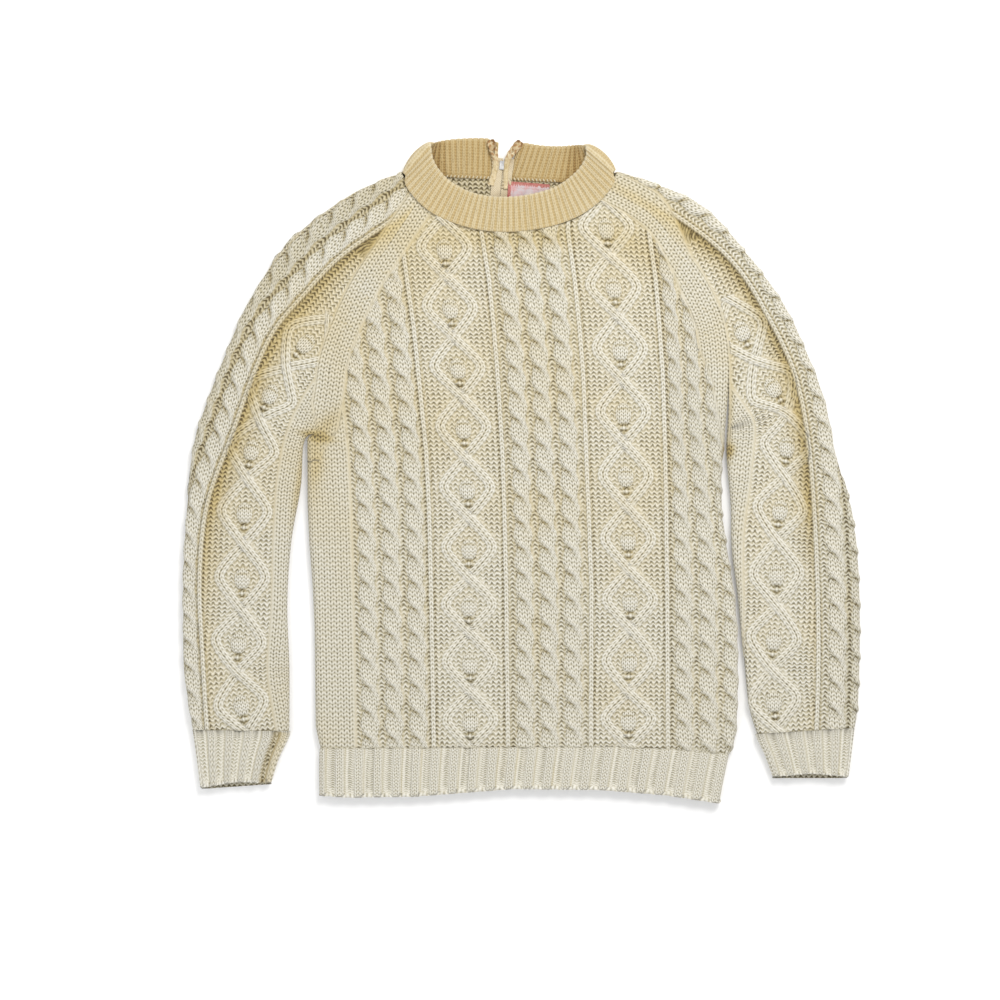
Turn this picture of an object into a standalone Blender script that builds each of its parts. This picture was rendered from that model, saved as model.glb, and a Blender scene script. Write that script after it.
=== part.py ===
"""A cable knit sweater lying flat, front up, with its sleeves down beside the body.

Front and back panels, two raglan sleeves, ribbed hem and cuffs, a folded rib collar that is
open at the back, and the short zip that closes it. X runs across, Y from hem to neck, Z up.
The origin is the middle of the footprint, on the surface that the sweater lies on.
"""

import math

import bmesh
import bpy
from mathutils import Matrix, Vector

MM = 0.001

# Cloth
WALL = 5.0 * MM  # cable knit, through the cables
HEIGHT = 13.4 * MM  # two walls and the slack between them
RIB_WALL = 4.6 * MM
SEAM = 0.5 * MM  # between two knitted pieces that are sewn together
SIDE_SEAM = 0.5 * MM  # between the front and back edges, at half height
ARMPIT_SLACK = 5.4 * MM  # more of it at the armpits, where three edges roll together
ARMPIT_REACH = 60.0 * MM  # how far along the side that takes to fade
ARMPIT_LIFT = 0.4  # of that reach, from the armpit up to where the slack is greatest

# Where a rounded side has its corners: out from the edge and up from half height,
# both as shares of half the height. The first is the seam, which is upright.
ROUND_SIDE = ((0.0, 0.0), (0.0, 0.268), (0.268, 0.732), (0.732, 1.0))
FLAT_SIDE = ((0.0, 1.0), (0.35, 1.0), (0.7, 1.0), (1.05, 1.0))
CORNERS = len(ROUND_SIDE)

# Panels
FRONT_COLUMNS = 11  # flat strips across a body panel, between its rounded sides
SLEEVE_COLUMNS = 4  # flat strips across one face of a sleeve
BODY_ROWS = 8
RAGLAN_ROWS = 10
RIB_ROWS = 2
ARMPIT_TURN = 2.0  # rows of a sleeve's table over which the raglan seam rolls under

# Neck: the collar's seam and its folded top edge are both half ellipses at the front.
NECK_SEAM_CENTRE = (-12.0 * MM, 307.0 * MM)
NECK_SEAM_RADII = (105.0 * MM, 55.8 * MM)
NECK_TOP_CENTRE = (-13.1 * MM, 336.4 * MM)
NECK_TOP_RADII = (81.0 * MM, 48.0 * MM)
RAGLAN_LEFT_ANGLE = 206.0  # degrees round the neck seam, where a front raglan seam meets it
RAGLAN_RIGHT_ANGLE = 348.5
NECK_BOW_FADE = 1.6  # how soon the courses below the neckline straighten out

# Collar: knitted twice its height and folded down inside
COLLAR_THICK = 7.0 * MM
COLLAR_GAP = 0.7 * MM  # from its seam edge to the panels
COLLAR_LIFT = 8.3 * MM  # from the back layer's middle to the front layer's
COLLAR_FRONT_STEPS = 22
COLLAR_FRONT_START = 3.0  # degrees past the end of the half ellipses
COLLAR_FOLD_STEPS = 5

# Zip
ZIP_TOP = Vector((-18.0 * MM, 322.5 * MM, 0.0))  # where the tapes end, at the slider
ZIP_SLANT = 6.0  # degrees, foot of the zip towards the wearer's right
ZIP_LENGTH = 100.0 * MM
ZIP_SLOT = 10.0 * MM  # between the two knitted edges
SLOT_FOOT = 4.0 * MM  # of the tapes, sewn down below the slot
TAPE_WIDTH = 10.4 * MM
TAPE_THICK = 0.6 * MM
TAPE_HEIGHT = 5.35 * MM  # of its lower face
CHAIN_GAP = 1.0 * MM  # between the tapes, where the teeth mesh

SLIDER_LENGTH = 9.0 * MM
SLIDER_WIDTH = 7.4 * MM
SLIDER_PLATE = 0.9 * MM
SLIDER_MOUTH = 1.8 * MM  # between its plates
POST_LENGTH = 3.0 * MM
POST_WIDTH = 2.2 * MM
POST_CLEAR = 0.6 * MM  # past the tapes' ends
ARCH_WIDTH = 2.0 * MM
ARCH_LEG = 0.8 * MM
ARCH_SPAN = 5.0 * MM
ARCH_DROP = 2.4 * MM

PULL_LENGTH = 22.0 * MM
PULL_WIDTH = 6.0 * MM
PULL_THICK = 1.0 * MM
PULL_EYE = (3.2 * MM, 2.9 * MM)  # across and along
PULL_END_BAR = 1.0 * MM
PULL_CLEAR = 0.3 * MM

# Label
LABEL_SIZE = (44.0 * MM, 26.0 * MM, 0.5 * MM)
LABEL_PLACE = Vector((7.0 * MM, 288.0 * MM, 6.25 * MM))  # its middle and lower face
LABEL_TURN = -8.0

# Left sleeve: its inner edge, which is the raglan seam down to the armpit, and its outer fold.
# A row is a course across the sleeve. Millimetres.
LEFT_ARMPIT = 6
LEFT_SLEEVE = (
    # inner x, inner y, outer x, outer y
    (-107.2, 282.7, -127.5, 312.0),
    (-131.8, 246.2, -178.0, 292.4),
    (-167.5, 191.6, -244.1, 242.0),
    (-195.8, 126.5, -283.0, 183.2),
    (-203.2, 84.5, -313.4, 113.9),
    (-209.5, 44.0, -334.4, 58.3),
    (-226.0, 31.0, -341.8, 34.1),
    (-230.0, -17.3, -351.2, -27.8),
    (-239.9, -75.1, -355.4, -87.7),
    (-244.1, -140.2, -356.4, -152.0),
    (-242.0, -205.0, -355.2, -215.0),
    (-242.0, -273.5, -344.9, -272.5),
)
LEFT_ARMPIT_Y = LEFT_SLEEVE[LEFT_ARMPIT][1] * MM
LEFT_CUFF = (
    (-242.4, -274.4, -344.4, -273.4),
    (-243.6, -281.0, -343.4, -280.0),
    (-254.0, -303.0, -340.0, -305.0),
    (-262.0, -328.1, -336.5, -333.4),
)

RIGHT_ARMPIT = 7
RIGHT_SLEEVE = (
    # inner x, inner y, outer x, outer y
    (91.2, 295.2, 104.5, 314.5),
    (136.0, 269.3, 140.0, 302.5),
    (167.5, 232.6, 193.2, 276.7),
    (193.7, 195.8, 238.9, 227.3),
    (211.6, 158.0, 276.7, 174.8),
    (217.9, 116.0, 300.8, 124.4),
    (217.9, 70.9, 319.7, 74.0),
    (215.6, 19.4, 332.3, 21.5),
    (220.0, -36.2, 346.0, -31.0),
    (221.2, -83.5, 353.3, -78.2),
    (227.4, -131.8, 356.4, -136.0),
    (232.6, -188.5, 356.4, -199.0),
    (238.4, -246.2, 354.4, -249.0),
    (246.8, -276.7, 351.2, -270.4),
)
RIGHT_ARMPIT_Y = RIGHT_SLEEVE[RIGHT_ARMPIT][1] * MM
RIGHT_CUFF = (
    (247.4, -277.6, 350.8, -271.3),
    (249.6, -284.0, 350.2, -278.0),
    (258.0, -302.0, 347.6, -300.0),
    (265.1, -321.8, 344.9, -321.8),
)
CUFF_BACK_LONGER = 3.0 * MM  # the under layer shows past the upper one

# Sides of the body, from the top of the hem rib (0) to the armpits (1). Millimetres.
BODY_SIDES = (
    # up, left x, right x
    (0.00, -211.6, 221.0),
    (0.07, -216.4, 227.0),
    (0.23, -217.0, 230.0),
    (0.40, -217.6, 229.2),
    (0.53, -219.6, 225.0),
    (0.66, -223.0, 218.0),
    (0.80, -224.9, 211.6),
    (0.92, -225.0, 211.0),
    (1.00, -225.2, 214.8),
)
HEM = (
    # across, top y, bottom y
    (0.00, -291.5, -341.5),
    (0.07, -291.3, -343.5),
    (0.24, -291.0, -342.5),
    (0.48, -290.5, -334.5),
    (0.70, -289.8, -335.5),
    (0.86, -292.5, -341.0),
    (1.00, -297.5, -350.0),
)
HEM_SIDES = ((-211.6, 221.0), (-212.0, 215.5), (-211.6, 210.5))  # left and right x, top to bottom

# The collar's back layer, from each shoulder fold to the zip. Millimetres.
COLLAR_FOLD_LEFT = ((-116.0, 313.5), (-92.0, 339.5))  # seam edge, top edge
COLLAR_FOLD_RIGHT = ((93.5, 314.5), (62.5, 337.0))
COLLAR_BACK_LEFT = (
    # seam x, top x, top y, thickness, which is less where it is sewn down beside the zip
    (-84.0, -72.0, 347.5, 7.0),
    (-60.0, -50.0, 349.6, 7.0),
    (-40.0, -34.0, 349.9, 7.0),
    (-30.5, -27.0, 348.0, 4.8),
    (-25.6, -22.2, 345.0, 4.8),
)
COLLAR_BACK_RIGHT = (
    (68.0, 50.0, 343.5, 7.0),
    (40.0, 27.0, 343.0, 7.0),
    (10.0, 8.0, 344.5, 7.0),
    (-5.0, 1.5, 345.5, 4.8),
    (-12.6, -6.0, 344.5, 4.8),
)
BACK_NECK_ROWS = 8  # courses over which the back raglan seam comes under the front one
BACK_NECK = {-1: Vector((-88.0, 310.0)) * MM, 1: Vector((69.0, 303.0)) * MM}  # its two corners

# Soft swellings and hollows of the upper layer. Millimetres and degrees.
SWELLS = (
    # x, y, half length, half width, turn, rise
    (-305.0, 60.0, 140.0, 16.0, 62.0, -0.5),
    (-275.0, 40.0, 120.0, 22.0, 70.0, 0.3),
    (290.0, 60.0, 150.0, 20.0, -68.0, 0.4),
    (0.0, 120.0, 150.0, 60.0, 4.0, 0.3),
    (-120.0, -120.0, 160.0, 40.0, 86.0, -0.4),
    (205.0, -100.0, 150.0, 18.0, 92.0, 0.4),
    (80.0, -200.0, 110.0, 30.0, 20.0, -0.3),
)

COLOURS = {
    # material: red, green, blue, roughness, metallic
    "cream_knit": (0.78, 0.71, 0.55, 0.9, 0.0),
    "golden_rib": (0.76, 0.63, 0.38, 0.9, 0.0),
    "zip_tape": (0.66, 0.54, 0.38, 0.85, 0.0),
    "slider_metal": (0.45, 0.45, 0.44, 0.35, 1.0),
    "woven_label": (0.82, 0.68, 0.70, 0.7, 0.0),
}


def material(name):
    """The material of that name, made on first use."""
    if name in bpy.data.materials:
        return bpy.data.materials[name]
    red, green, blue, roughness, metallic = COLOURS[name]
    made = bpy.data.materials.new(name)
    made.use_nodes = True
    shader = made.node_tree.nodes["Principled BSDF"]
    shader.inputs["Base Color"].default_value = (red, green, blue, 1.0)
    shader.inputs["Roughness"].default_value = roughness
    shader.inputs["Metallic"].default_value = metallic
    made.diffuse_color = (red, green, blue, 1.0)
    return made


def new_object(name, bm, finish, collection):
    """An object in the collection, from a bmesh in its place."""
    mesh = bpy.data.meshes.new(name)
    bm.to_mesh(mesh)
    bm.free()
    made = bpy.data.objects.new(name, mesh)
    mesh.materials.append(material(finish))
    collection.objects.link(made)
    return made


def smooth(rows, at):
    """A row of a table at a fractional place, on a smooth curve through its rows."""
    last = len(rows) - 1
    low = min(int(at), last - 1)
    share = at - low
    before = rows[max(low - 1, 0)]
    after = rows[min(low + 2, last)]
    found = []
    for a, b, c, d in zip(before, rows[low], rows[low + 1], after):
        bend = (c - a) * share + (2 * a - 5 * b + 4 * c - d) * share**2
        found.append(b + 0.5 * (bend + (3 * b - a - 3 * c + d) * share**3))
    return found


def lookup(rows, key):
    """A table's other columns, read between its rows by the first one."""
    for low, high in zip(rows, rows[1:]):
        if key <= high[0]:
            share = (key - low[0]) / (high[0] - low[0])
            return [a + (b - a) * share for a, b in zip(low[1:], high[1:])]
    return list(rows[-1][1:])


def ease(share):
    """0 to 1 with level ends."""
    share = min(max(share, 0.0), 1.0)
    return share * share * (3 - 2 * share)


def height(x, y):
    """How high the upper layer's outer face lies."""
    total = HEIGHT
    for at_x, at_y, half_length, half_width, turn, rise in SWELLS:
        away = Vector((x - at_x * MM, y - at_y * MM))
        along = Vector((math.cos(math.radians(turn)), math.sin(math.radians(turn))))
        run = away.dot(along) / (half_length * MM)
        side = away.cross(along) / (half_width * MM)
        total += rise * MM * math.exp(-run * run - side * side)
    return total


def edge_corner(number, rounded):
    """Corner of a side's outline, from a flat seam (0) to a fully rounded edge (1)."""
    flat, turned = FLAT_SIDE[number], ROUND_SIDE[number]
    return [a + (b - a) * rounded for a, b in zip(flat, turned)]


def layer_point(start, end, column, columns, rounded, upper):
    """A point of one layer between two edges: their corners, and flat strips between."""
    last = columns + 2 * (CORNERS - 1)
    run = (end - start).normalized()
    near_start = column < last / 2
    if column < CORNERS or column > last - CORNERS:
        out, up = edge_corner(column if near_start else last - column, rounded[not near_start])
        edge, inwards = (start, run) if near_start else (end, -run)
        place = edge + inwards * out * HEIGHT / 2
    else:
        low = start + run * edge_corner(CORNERS - 1, rounded[0])[0] * HEIGHT / 2
        high = end - run * edge_corner(CORNERS - 1, rounded[1])[0] * HEIGHT / 2
        place = low.lerp(high, (column + 1 - CORNERS) / columns)
        up = 1.0
    top = height(place.x, place.y)
    armpit = LEFT_ARMPIT_Y if place.x < 0 else RIGHT_ARMPIT_Y
    above = (place.y - armpit) / ARMPIT_REACH - ARMPIT_LIFT
    gap = (SIDE_SEAM + ARMPIT_SLACK * math.exp(-above * above)) / 2
    if upper:
        level = top / 2 + gap + (top / 2 - gap) * up
    else:
        level = (top / 2 - gap) * (1 - up)
    return Vector((place.x, place.y, level))


def cloth(name, columns, rows, place, inwards, wall, finish, collection):
    """A knitted wall: a grid whose vertices are placed by column and row, then thickened."""
    bm = bmesh.new()
    bmesh.ops.create_grid(bm, x_segments=columns, y_segments=rows, size=1.0)
    for vertex in bm.verts:
        column = round((vertex.co.x + 1) / 2 * columns)
        row = round((vertex.co.y + 1) / 2 * rows)
        vertex.co = place(column, row)
    made = new_object(name, bm, finish, collection)
    made.data.shade_smooth()
    thicken = made.modifiers.new("wall", "SOLIDIFY")
    thicken.thickness = wall
    thicken.offset = inwards
    thicken.use_even_offset = True
    thicken.use_quality_normals = True
    return made


# ---- Outline curves shared by neighbouring pieces


def ellipse(centre, radii, angle):
    turn = math.radians(angle)
    return Vector((centre[0] + radii[0] * math.cos(turn), centre[1] + radii[1] * math.sin(turn)))


def raglan(table, armpit, row):
    """A front raglan seam, from the neck (row 0) to the armpit, and how far it has turned under."""
    at = armpit * row / RAGLAN_ROWS
    inner_x, inner_y = smooth(table, at)[:2]
    return Vector((inner_x, inner_y)) * MM, ease((at - armpit) / ARMPIT_TURN + 1)


def back_raglan(table, armpit, row, side):
    """The back raglan seam, which starts further in and higher, at the back neck."""
    point, turned = raglan(table, armpit, row)
    shift = BACK_NECK[side] - raglan(table, armpit, 0)[0]
    return point + shift * (1 - ease(row / BACK_NECK_ROWS)), turned


def back_neck_y(x):
    """The y of the back panel's straight top edge."""
    left, right = BACK_NECK[-1], BACK_NECK[1]
    return left.y + (right.y - left.y) * (x - left.x) / (right.x - left.x)


def hem_line(across, column):
    """The y of the top (0) or bottom (1) of the hem rib, at a share of the width."""
    return lookup(HEM, across)[column] * MM


# ---- Body panels


def body_ends(row, back):
    """Where a body panel's course ends at left and right, and how far each end is rounded."""
    if row <= BODY_ROWS:
        up = row / BODY_ROWS
        left_x, right_x = lookup(BODY_SIDES, up)
        left_arm = raglan(LEFT_SLEEVE, LEFT_ARMPIT, RAGLAN_ROWS)[0].y
        right_arm = raglan(RIGHT_SLEEVE, RIGHT_ARMPIT, RAGLAN_ROWS)[0].y
        left = Vector((left_x * MM, hem_line(0.0, 0) + (left_arm - hem_line(0.0, 0)) * up))
        right = Vector((right_x * MM, hem_line(1.0, 0) + (right_arm - hem_line(1.0, 0)) * up))
        if row == BODY_ROWS:
            left.x += SEAM
        return left, right, (1.0, 1.0)
    neck_row = BODY_ROWS + RAGLAN_ROWS - row
    if back:
        left, left_turn = back_raglan(LEFT_SLEEVE, LEFT_ARMPIT, neck_row, -1)
        right, right_turn = back_raglan(RIGHT_SLEEVE, RIGHT_ARMPIT, neck_row, 1)
    else:
        left, left_turn = raglan(LEFT_SLEEVE, LEFT_ARMPIT, neck_row)
        right, right_turn = raglan(RIGHT_SLEEVE, RIGHT_ARMPIT, neck_row)
    inset = (right - left).normalized() * SEAM
    return left + inset, right - inset, (left_turn, right_turn)


def neckline(across, back):
    """The panel's top edge, at a share of its width, as an offset from its straight chord."""
    if back:
        return Vector((0.0, 0.0))
    angle = RAGLAN_LEFT_ANGLE + (RAGLAN_RIGHT_ANGLE - RAGLAN_LEFT_ANGLE) * across
    start = ellipse(NECK_SEAM_CENTRE, NECK_SEAM_RADII, RAGLAN_LEFT_ANGLE)
    end = ellipse(NECK_SEAM_CENTRE, NECK_SEAM_RADII, RAGLAN_RIGHT_ANGLE)
    return ellipse(NECK_SEAM_CENTRE, NECK_SEAM_RADII, angle) - start.lerp(end, across)


def body_panel(name, back, collection):
    columns = FRONT_COLUMNS + 2 * (CORNERS - 1)
    rows = BODY_ROWS + RAGLAN_ROWS

    def place(column, row):
        left, right, rounded = body_ends(row, back)
        if row == 0:
            left = left + Vector((0.0, SEAM / 2))
            right = right + Vector((0.0, SEAM / 2))
        point = layer_point(left, right, column, FRONT_COLUMNS, rounded, not back)
        across = (point.xy - left).length / (right - left).length
        if row <= BODY_ROWS:
            chord = hem_line(0.0, 0) + (hem_line(1.0, 0) - hem_line(0.0, 0)) * across
            point.y += (hem_line(across, 0) - chord) * (1 - row / BODY_ROWS)
        else:
            share = (row - BODY_ROWS) / RAGLAN_ROWS
            bow = neckline(across, back) * share**NECK_BOW_FADE
            point.x += bow.x
            point.y += bow.y
        return point

    inwards = 1.0 if back else -1.0
    return cloth(name, columns, rows, place, inwards, WALL, "cream_knit", collection)


def hem_rib(name, back, collection):
    columns = FRONT_COLUMNS + 2 * (CORNERS - 1)

    def place(column, row):
        down = (RIB_ROWS - row) / RIB_ROWS
        left_x, right_x = smooth(HEM_SIDES, down * (len(HEM_SIDES) - 1))
        left = Vector((left_x * MM, hem_line(0.0, 0)))
        right = Vector((right_x * MM, hem_line(1.0, 0)))
        point = layer_point(left, right, column, FRONT_COLUMNS, (1.0, 1.0), not back)
        across = (point.xy - left).length / (right - left).length
        top = hem_line(across, 0) - SEAM / 2
        point.y = top + (hem_line(across, 1) - top) * down
        return point

    inwards = 1.0 if back else -1.0
    return cloth(name, columns, RIB_ROWS, place, inwards, RIB_WALL, "cream_knit", collection)


# ---- Sleeves and cuffs: one wall each, wrapped over the outer fold and sewn at its inner edge


def tube_columns(columns):
    """Strips all round a flattened sleeve, whose outer fold needs no corner for a seam."""
    return 2 * (columns + 2 * CORNERS - 3) + 1


def tube_point(inner_top, outer, inner_under, column, rounded, columns):
    """A point round a flattened sleeve: over the upper layer, the outer fold, the under layer."""
    under = tube_columns(columns) - column
    if column < under:
        return layer_point(inner_top, outer, column, columns, (rounded, 1.0), True)
    return layer_point(inner_under, outer, under, columns, (rounded, 1.0), False)


def sleeve(name, table, armpit, side, collection):
    """side is -1 for the sleeve at -X and 1 for the one at +X."""
    lower_rows = 2 * (len(table) - 1 - armpit)
    rows = RAGLAN_ROWS + lower_rows
    columns = tube_columns(SLEEVE_COLUMNS)

    def place(column, row):
        if row <= RAGLAN_ROWS:
            at = armpit * row / RAGLAN_ROWS
        else:
            at = armpit + (row - RAGLAN_ROWS) / 2
        inner_x, inner_y, outer_x, outer_y = smooth(table, at)
        outer = Vector((outer_x, outer_y)) * MM
        inner = under = Vector((inner_x, inner_y)) * MM
        rounded = 1.0
        if row <= RAGLAN_ROWS:
            inner, rounded = raglan(table, armpit, row)
            under = back_raglan(table, armpit, row, side)[0]
        aside = Vector((side * SEAM, 0.0))
        point = tube_point(inner + aside, outer, under + aside, column, rounded, SLEEVE_COLUMNS)
        if row == rows:
            point.y += SEAM / 2
        return point

    return cloth(name, columns, rows, place, side, WALL, "cream_knit", collection)


def cuff(name, table, side, collection):
    rows = 2 * (len(table) - 1)
    columns = tube_columns(SLEEVE_COLUMNS)

    def place(column, row):
        down = row / rows
        inner_x, inner_y, outer_x, outer_y = smooth(table, down * (len(table) - 1))
        inner = Vector((inner_x, inner_y)) * MM
        outer = Vector((outer_x, outer_y)) * MM
        point = tube_point(inner, outer, inner, column, 1.0, SLEEVE_COLUMNS)
        if column > columns / 2:
            point.y -= CUFF_BACK_LONGER * ease(down * 2 - 1)
        return point

    return cloth(name, columns, rows, place, side, RIB_WALL, "cream_knit", collection)


# ---- Collar


COLLAR_SECTION = (
    # across the band from its seam edge, and through it from the inner face
    (0.00, -0.50),
    (0.00, 0.50),
    (0.30, 0.50),
    (0.62, 0.50),
    (0.92, 0.50),
    (1.00, 0.22),
    (1.00, -0.22),
    (0.92, -0.50),
    (0.62, -0.50),
    (0.30, -0.50),
)


def back_stations(table):
    """Stations of the collar's back layer. Its outer face lies on the surface."""
    found = []
    for seam_x, top_x, top_y, thick in table:
        seam = Vector((seam_x, 0, thick / 2)) * MM
        seam.y = back_neck_y(seam.x) + COLLAR_GAP
        top = Vector((top_x, top_y, thick / 2)) * MM
        found.append((seam, top, Vector((0, 0, -1)), thick * MM))
    return found


def fold_stations(fold, outwards):
    """Stations round a shoulder fold, from the back layer up to the front one."""
    seam, top = (Vector((x, y, 0)) * MM for x, y in fold)
    radius = COLLAR_LIFT / 2
    middle = COLLAR_THICK / 2 + radius
    found = []
    for step in range(COLLAR_FOLD_STEPS + 2):
        turn = math.pi * step / (COLLAR_FOLD_STEPS + 1)
        facing = outwards * math.sin(turn) - Vector((0, 0, math.cos(turn)))
        shift = facing * radius + Vector((0, 0, middle))
        found.append((seam + shift, top + shift, facing, COLLAR_THICK))
    return found


def front_stations():
    """Stations of the front layer, between the two half ellipses, from left to right."""
    level = Vector((0, 0, COLLAR_THICK / 2 + COLLAR_LIFT))
    found = []
    for step in range(1, COLLAR_FRONT_STEPS):
        share = step / COLLAR_FRONT_STEPS
        angle = 180 + COLLAR_FRONT_START + (180 - 2 * COLLAR_FRONT_START) * share
        seam = ellipse(NECK_SEAM_CENTRE, NECK_SEAM_RADII, angle)
        top = ellipse(NECK_TOP_CENTRE, NECK_TOP_RADII, angle)
        seam += (top - seam).normalized() * COLLAR_GAP
        found.append((seam.to_3d() + level, top.to_3d() + level, Vector((0, 0, 1)), COLLAR_THICK))
    return found


def fold_outwards(fold, side):
    band = (Vector(fold[1]) - Vector(fold[0])).normalized()
    return Vector((-band.y, band.x, 0)) * -side


def ring_edges(bm, ring):
    """The edges round a closed ring of vertices, made where they are missing."""
    pairs = list(zip(ring, ring[1:] + ring[:1]))
    return [bm.edges.get(pair) or bm.edges.new(pair) for pair in pairs]


def collar(collection):
    """The folded rib band: a flat section carried round the neck, from one zip edge to the other."""
    left_fold = fold_stations(COLLAR_FOLD_LEFT, fold_outwards(COLLAR_FOLD_LEFT, -1))
    right_fold = fold_stations(COLLAR_FOLD_RIGHT, fold_outwards(COLLAR_FOLD_RIGHT, 1))
    stations = back_stations(COLLAR_BACK_LEFT)[::-1] + left_fold + front_stations()
    stations += right_fold[::-1] + back_stations(COLLAR_BACK_RIGHT)
    bm = bmesh.new()
    rings = []
    for seam, top, facing, thick in stations:
        ring = []
        for across, through in COLLAR_SECTION:
            point = seam.lerp(top, across) + facing * through * thick
            ring.append(bm.verts.new(point))
        ring_edges(bm, ring)
        rings.append(ring)
    for before, after in zip(rings, rings[1:]):
        bmesh.ops.bridge_loops(bm, edges=ring_edges(bm, before) + ring_edges(bm, after))
    bmesh.ops.holes_fill(bm, edges=bm.edges, sides=len(COLLAR_SECTION))
    bmesh.ops.recalc_face_normals(bm, faces=bm.faces)
    made = new_object("collar", bm, "golden_rib", collection)
    made.data.shade_smooth()
    return made


# ---- Zip and label


def zip_frame():
    """Turns the zip's own axes, Y towards the neck, to its place on the back."""
    return Matrix.Translation(ZIP_TOP) @ Matrix.Rotation(math.radians(-ZIP_SLANT), 4, "Z")


def block(bm, low, high):
    """A box between two corners."""
    low, high = Vector(low), Vector(high)
    made = bmesh.ops.create_cube(bm, size=1.0)["verts"]
    bmesh.ops.scale(bm, vec=high - low, verts=made)
    bmesh.ops.translate(bm, vec=(low + high) / 2, verts=made)


def cut(target, cutter, operation="DIFFERENCE"):
    modifier = target.modifiers.new(cutter.name, "BOOLEAN")
    modifier.object = cutter
    modifier.operation = operation
    modifier.solver = "EXACT"
    cutter.hide_render = True
    cutter.display_type = "WIRE"


def box_object(name, low, high, finish, collection, place=None):
    bm = bmesh.new()
    block(bm, low, high)
    made = new_object(name, bm, finish, collection)
    made.matrix_world = place or zip_frame()
    return made


def zip_tapes(collection):
    for name, side in (("zip_tape_left", -1), ("zip_tape_right", 1)):
        inner, outer = side * CHAIN_GAP / 2, side * (CHAIN_GAP / 2 + TAPE_WIDTH)
        low = (min(inner, outer), -ZIP_LENGTH, TAPE_HEIGHT)
        high = (max(inner, outer), 0.0, TAPE_HEIGHT + TAPE_THICK)
        box_object(name, low, high, "zip_tape", collection)


def slider_levels():
    """Heights of the slider's upper plate, lower plate and arch, from the tapes between them."""
    middle = TAPE_HEIGHT + TAPE_THICK / 2
    upper = middle + SLIDER_MOUTH / 2
    lower = middle - SLIDER_MOUTH / 2 - SLIDER_PLATE
    return upper, lower, lower - ARCH_DROP


def zip_slider(collection, cutters):
    """Two plates round the tapes, a post between them past the tapes' ends, and the pull's arch."""
    upper, lower, arch = slider_levels()
    half = SLIDER_WIDTH / 2
    front = SLIDER_LENGTH - POST_LENGTH
    slider = box_object(
        "zip_slider", (-half, -front, upper), (half, POST_LENGTH, upper + SLIDER_PLATE),
        "slider_metal", collection,
    )
    post, bridge, axis_y = POST_WIDTH / 2, ARCH_WIDTH / 2, pull_axis_y()
    arch_low, arch_high = axis_y - ARCH_SPAN / 2, axis_y + ARCH_SPAN / 2
    sunk = SLIDER_PLATE / 2  # how far the post and the arch reach into a plate
    parts = (
        # name, low corner, high corner
        ("slider_lower_plate", (-half, -front, lower), (half, POST_LENGTH, lower + SLIDER_PLATE)),
        ("slider_post", (-post, POST_CLEAR, lower + sunk), (post, POST_LENGTH - sunk, upper + sunk)),
        ("slider_arch", (-bridge, arch_low, arch), (bridge, arch_high, lower + sunk)),
    )
    for name, low, high in parts:
        cut(slider, box_object(name, low, high, "slider_metal", cutters), "UNION")
    window = ARCH_SPAN / 2 - ARCH_LEG
    low = (-ARCH_WIDTH, axis_y - window, arch + ARCH_LEG)
    high = (ARCH_WIDTH, axis_y + window, lower)
    cut(slider, box_object("slider_window", low, high, "slider_metal", cutters))


def pull_axis_y():
    """How far the pull's axis lies from the tapes' ends: at the middle of the slider."""
    return POST_LENGTH - SLIDER_LENGTH / 2


def zip_pull(collection, cutters):
    """The tab, flat along the zip under the slider. Its end bar turns in the slider's arch."""
    lower = slider_levels()[1]
    place = zip_frame() @ Matrix.Translation((0, pull_axis_y(), lower - PULL_CLEAR - PULL_THICK / 2))
    half_bar = PULL_END_BAR / 2
    half = PULL_WIDTH / 2
    low = (-half, half_bar - PULL_LENGTH, -PULL_THICK / 2)
    high = (half, half_bar, PULL_THICK / 2)
    pull = box_object("zip_pull", low, high, "slider_metal", collection, place)
    low = (-PULL_EYE[0] / 2, -half_bar - PULL_EYE[1], -PULL_THICK)
    high = (PULL_EYE[0] / 2, -half_bar, PULL_THICK)
    cut(pull, box_object("pull_eye", low, high, "slider_metal", cutters, place))


def neck_label(collection):
    half = Vector(LABEL_SIZE) / 2
    place = Matrix.Translation(LABEL_PLACE) @ Matrix.Rotation(math.radians(LABEL_TURN), 4, "Z")
    low = (-half.x, -half.y, 0.0)
    high = (half.x, half.y, LABEL_SIZE[2])
    box_object("neck_label", low, high, "woven_label", collection, place)


def back_slot(panel, cutters):
    """Opens the back panel under the zip."""
    half = ZIP_SLOT / 2
    low = (-half, SLOT_FOOT - ZIP_LENGTH, -WALL)
    high = (half, ZIP_SLOT, 2 * WALL)
    cut(panel, box_object("zip_slot", low, high, "zip_tape", cutters))


def main():
    for old in list(bpy.data.objects):
        bpy.data.objects.remove(old, do_unlink=True)
    sweater = bpy.data.collections.new("cable_knit_sweater")
    cutters = bpy.data.collections.new("cutters")
    bpy.context.scene.collection.children.link(sweater)
    bpy.context.scene.collection.children.link(cutters)

    body_panel("front_panel", False, sweater)
    back = body_panel("back_panel", True, sweater)
    back_slot(back, cutters)
    hem_rib("hem_rib_front", False, sweater)
    hem_rib("hem_rib_back", True, sweater)
    sleeve("sleeve_left", LEFT_SLEEVE, LEFT_ARMPIT, -1, sweater)
    sleeve("sleeve_right", RIGHT_SLEEVE, RIGHT_ARMPIT, 1, sweater)
    cuff("cuff_left", LEFT_CUFF, -1, sweater)
    cuff("cuff_right", RIGHT_CUFF, 1, sweater)
    collar(sweater)
    zip_tapes(sweater)
    zip_slider(sweater, cutters)
    zip_pull(sweater, cutters)
    neck_label(sweater)


main()
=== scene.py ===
"""A hand-knitted cable sweater, laid flat with its front up and its sleeves beside the body."""

import math

import bmesh
import bpy
import numpy as np
from mathutils import Matrix, Vector


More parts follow.
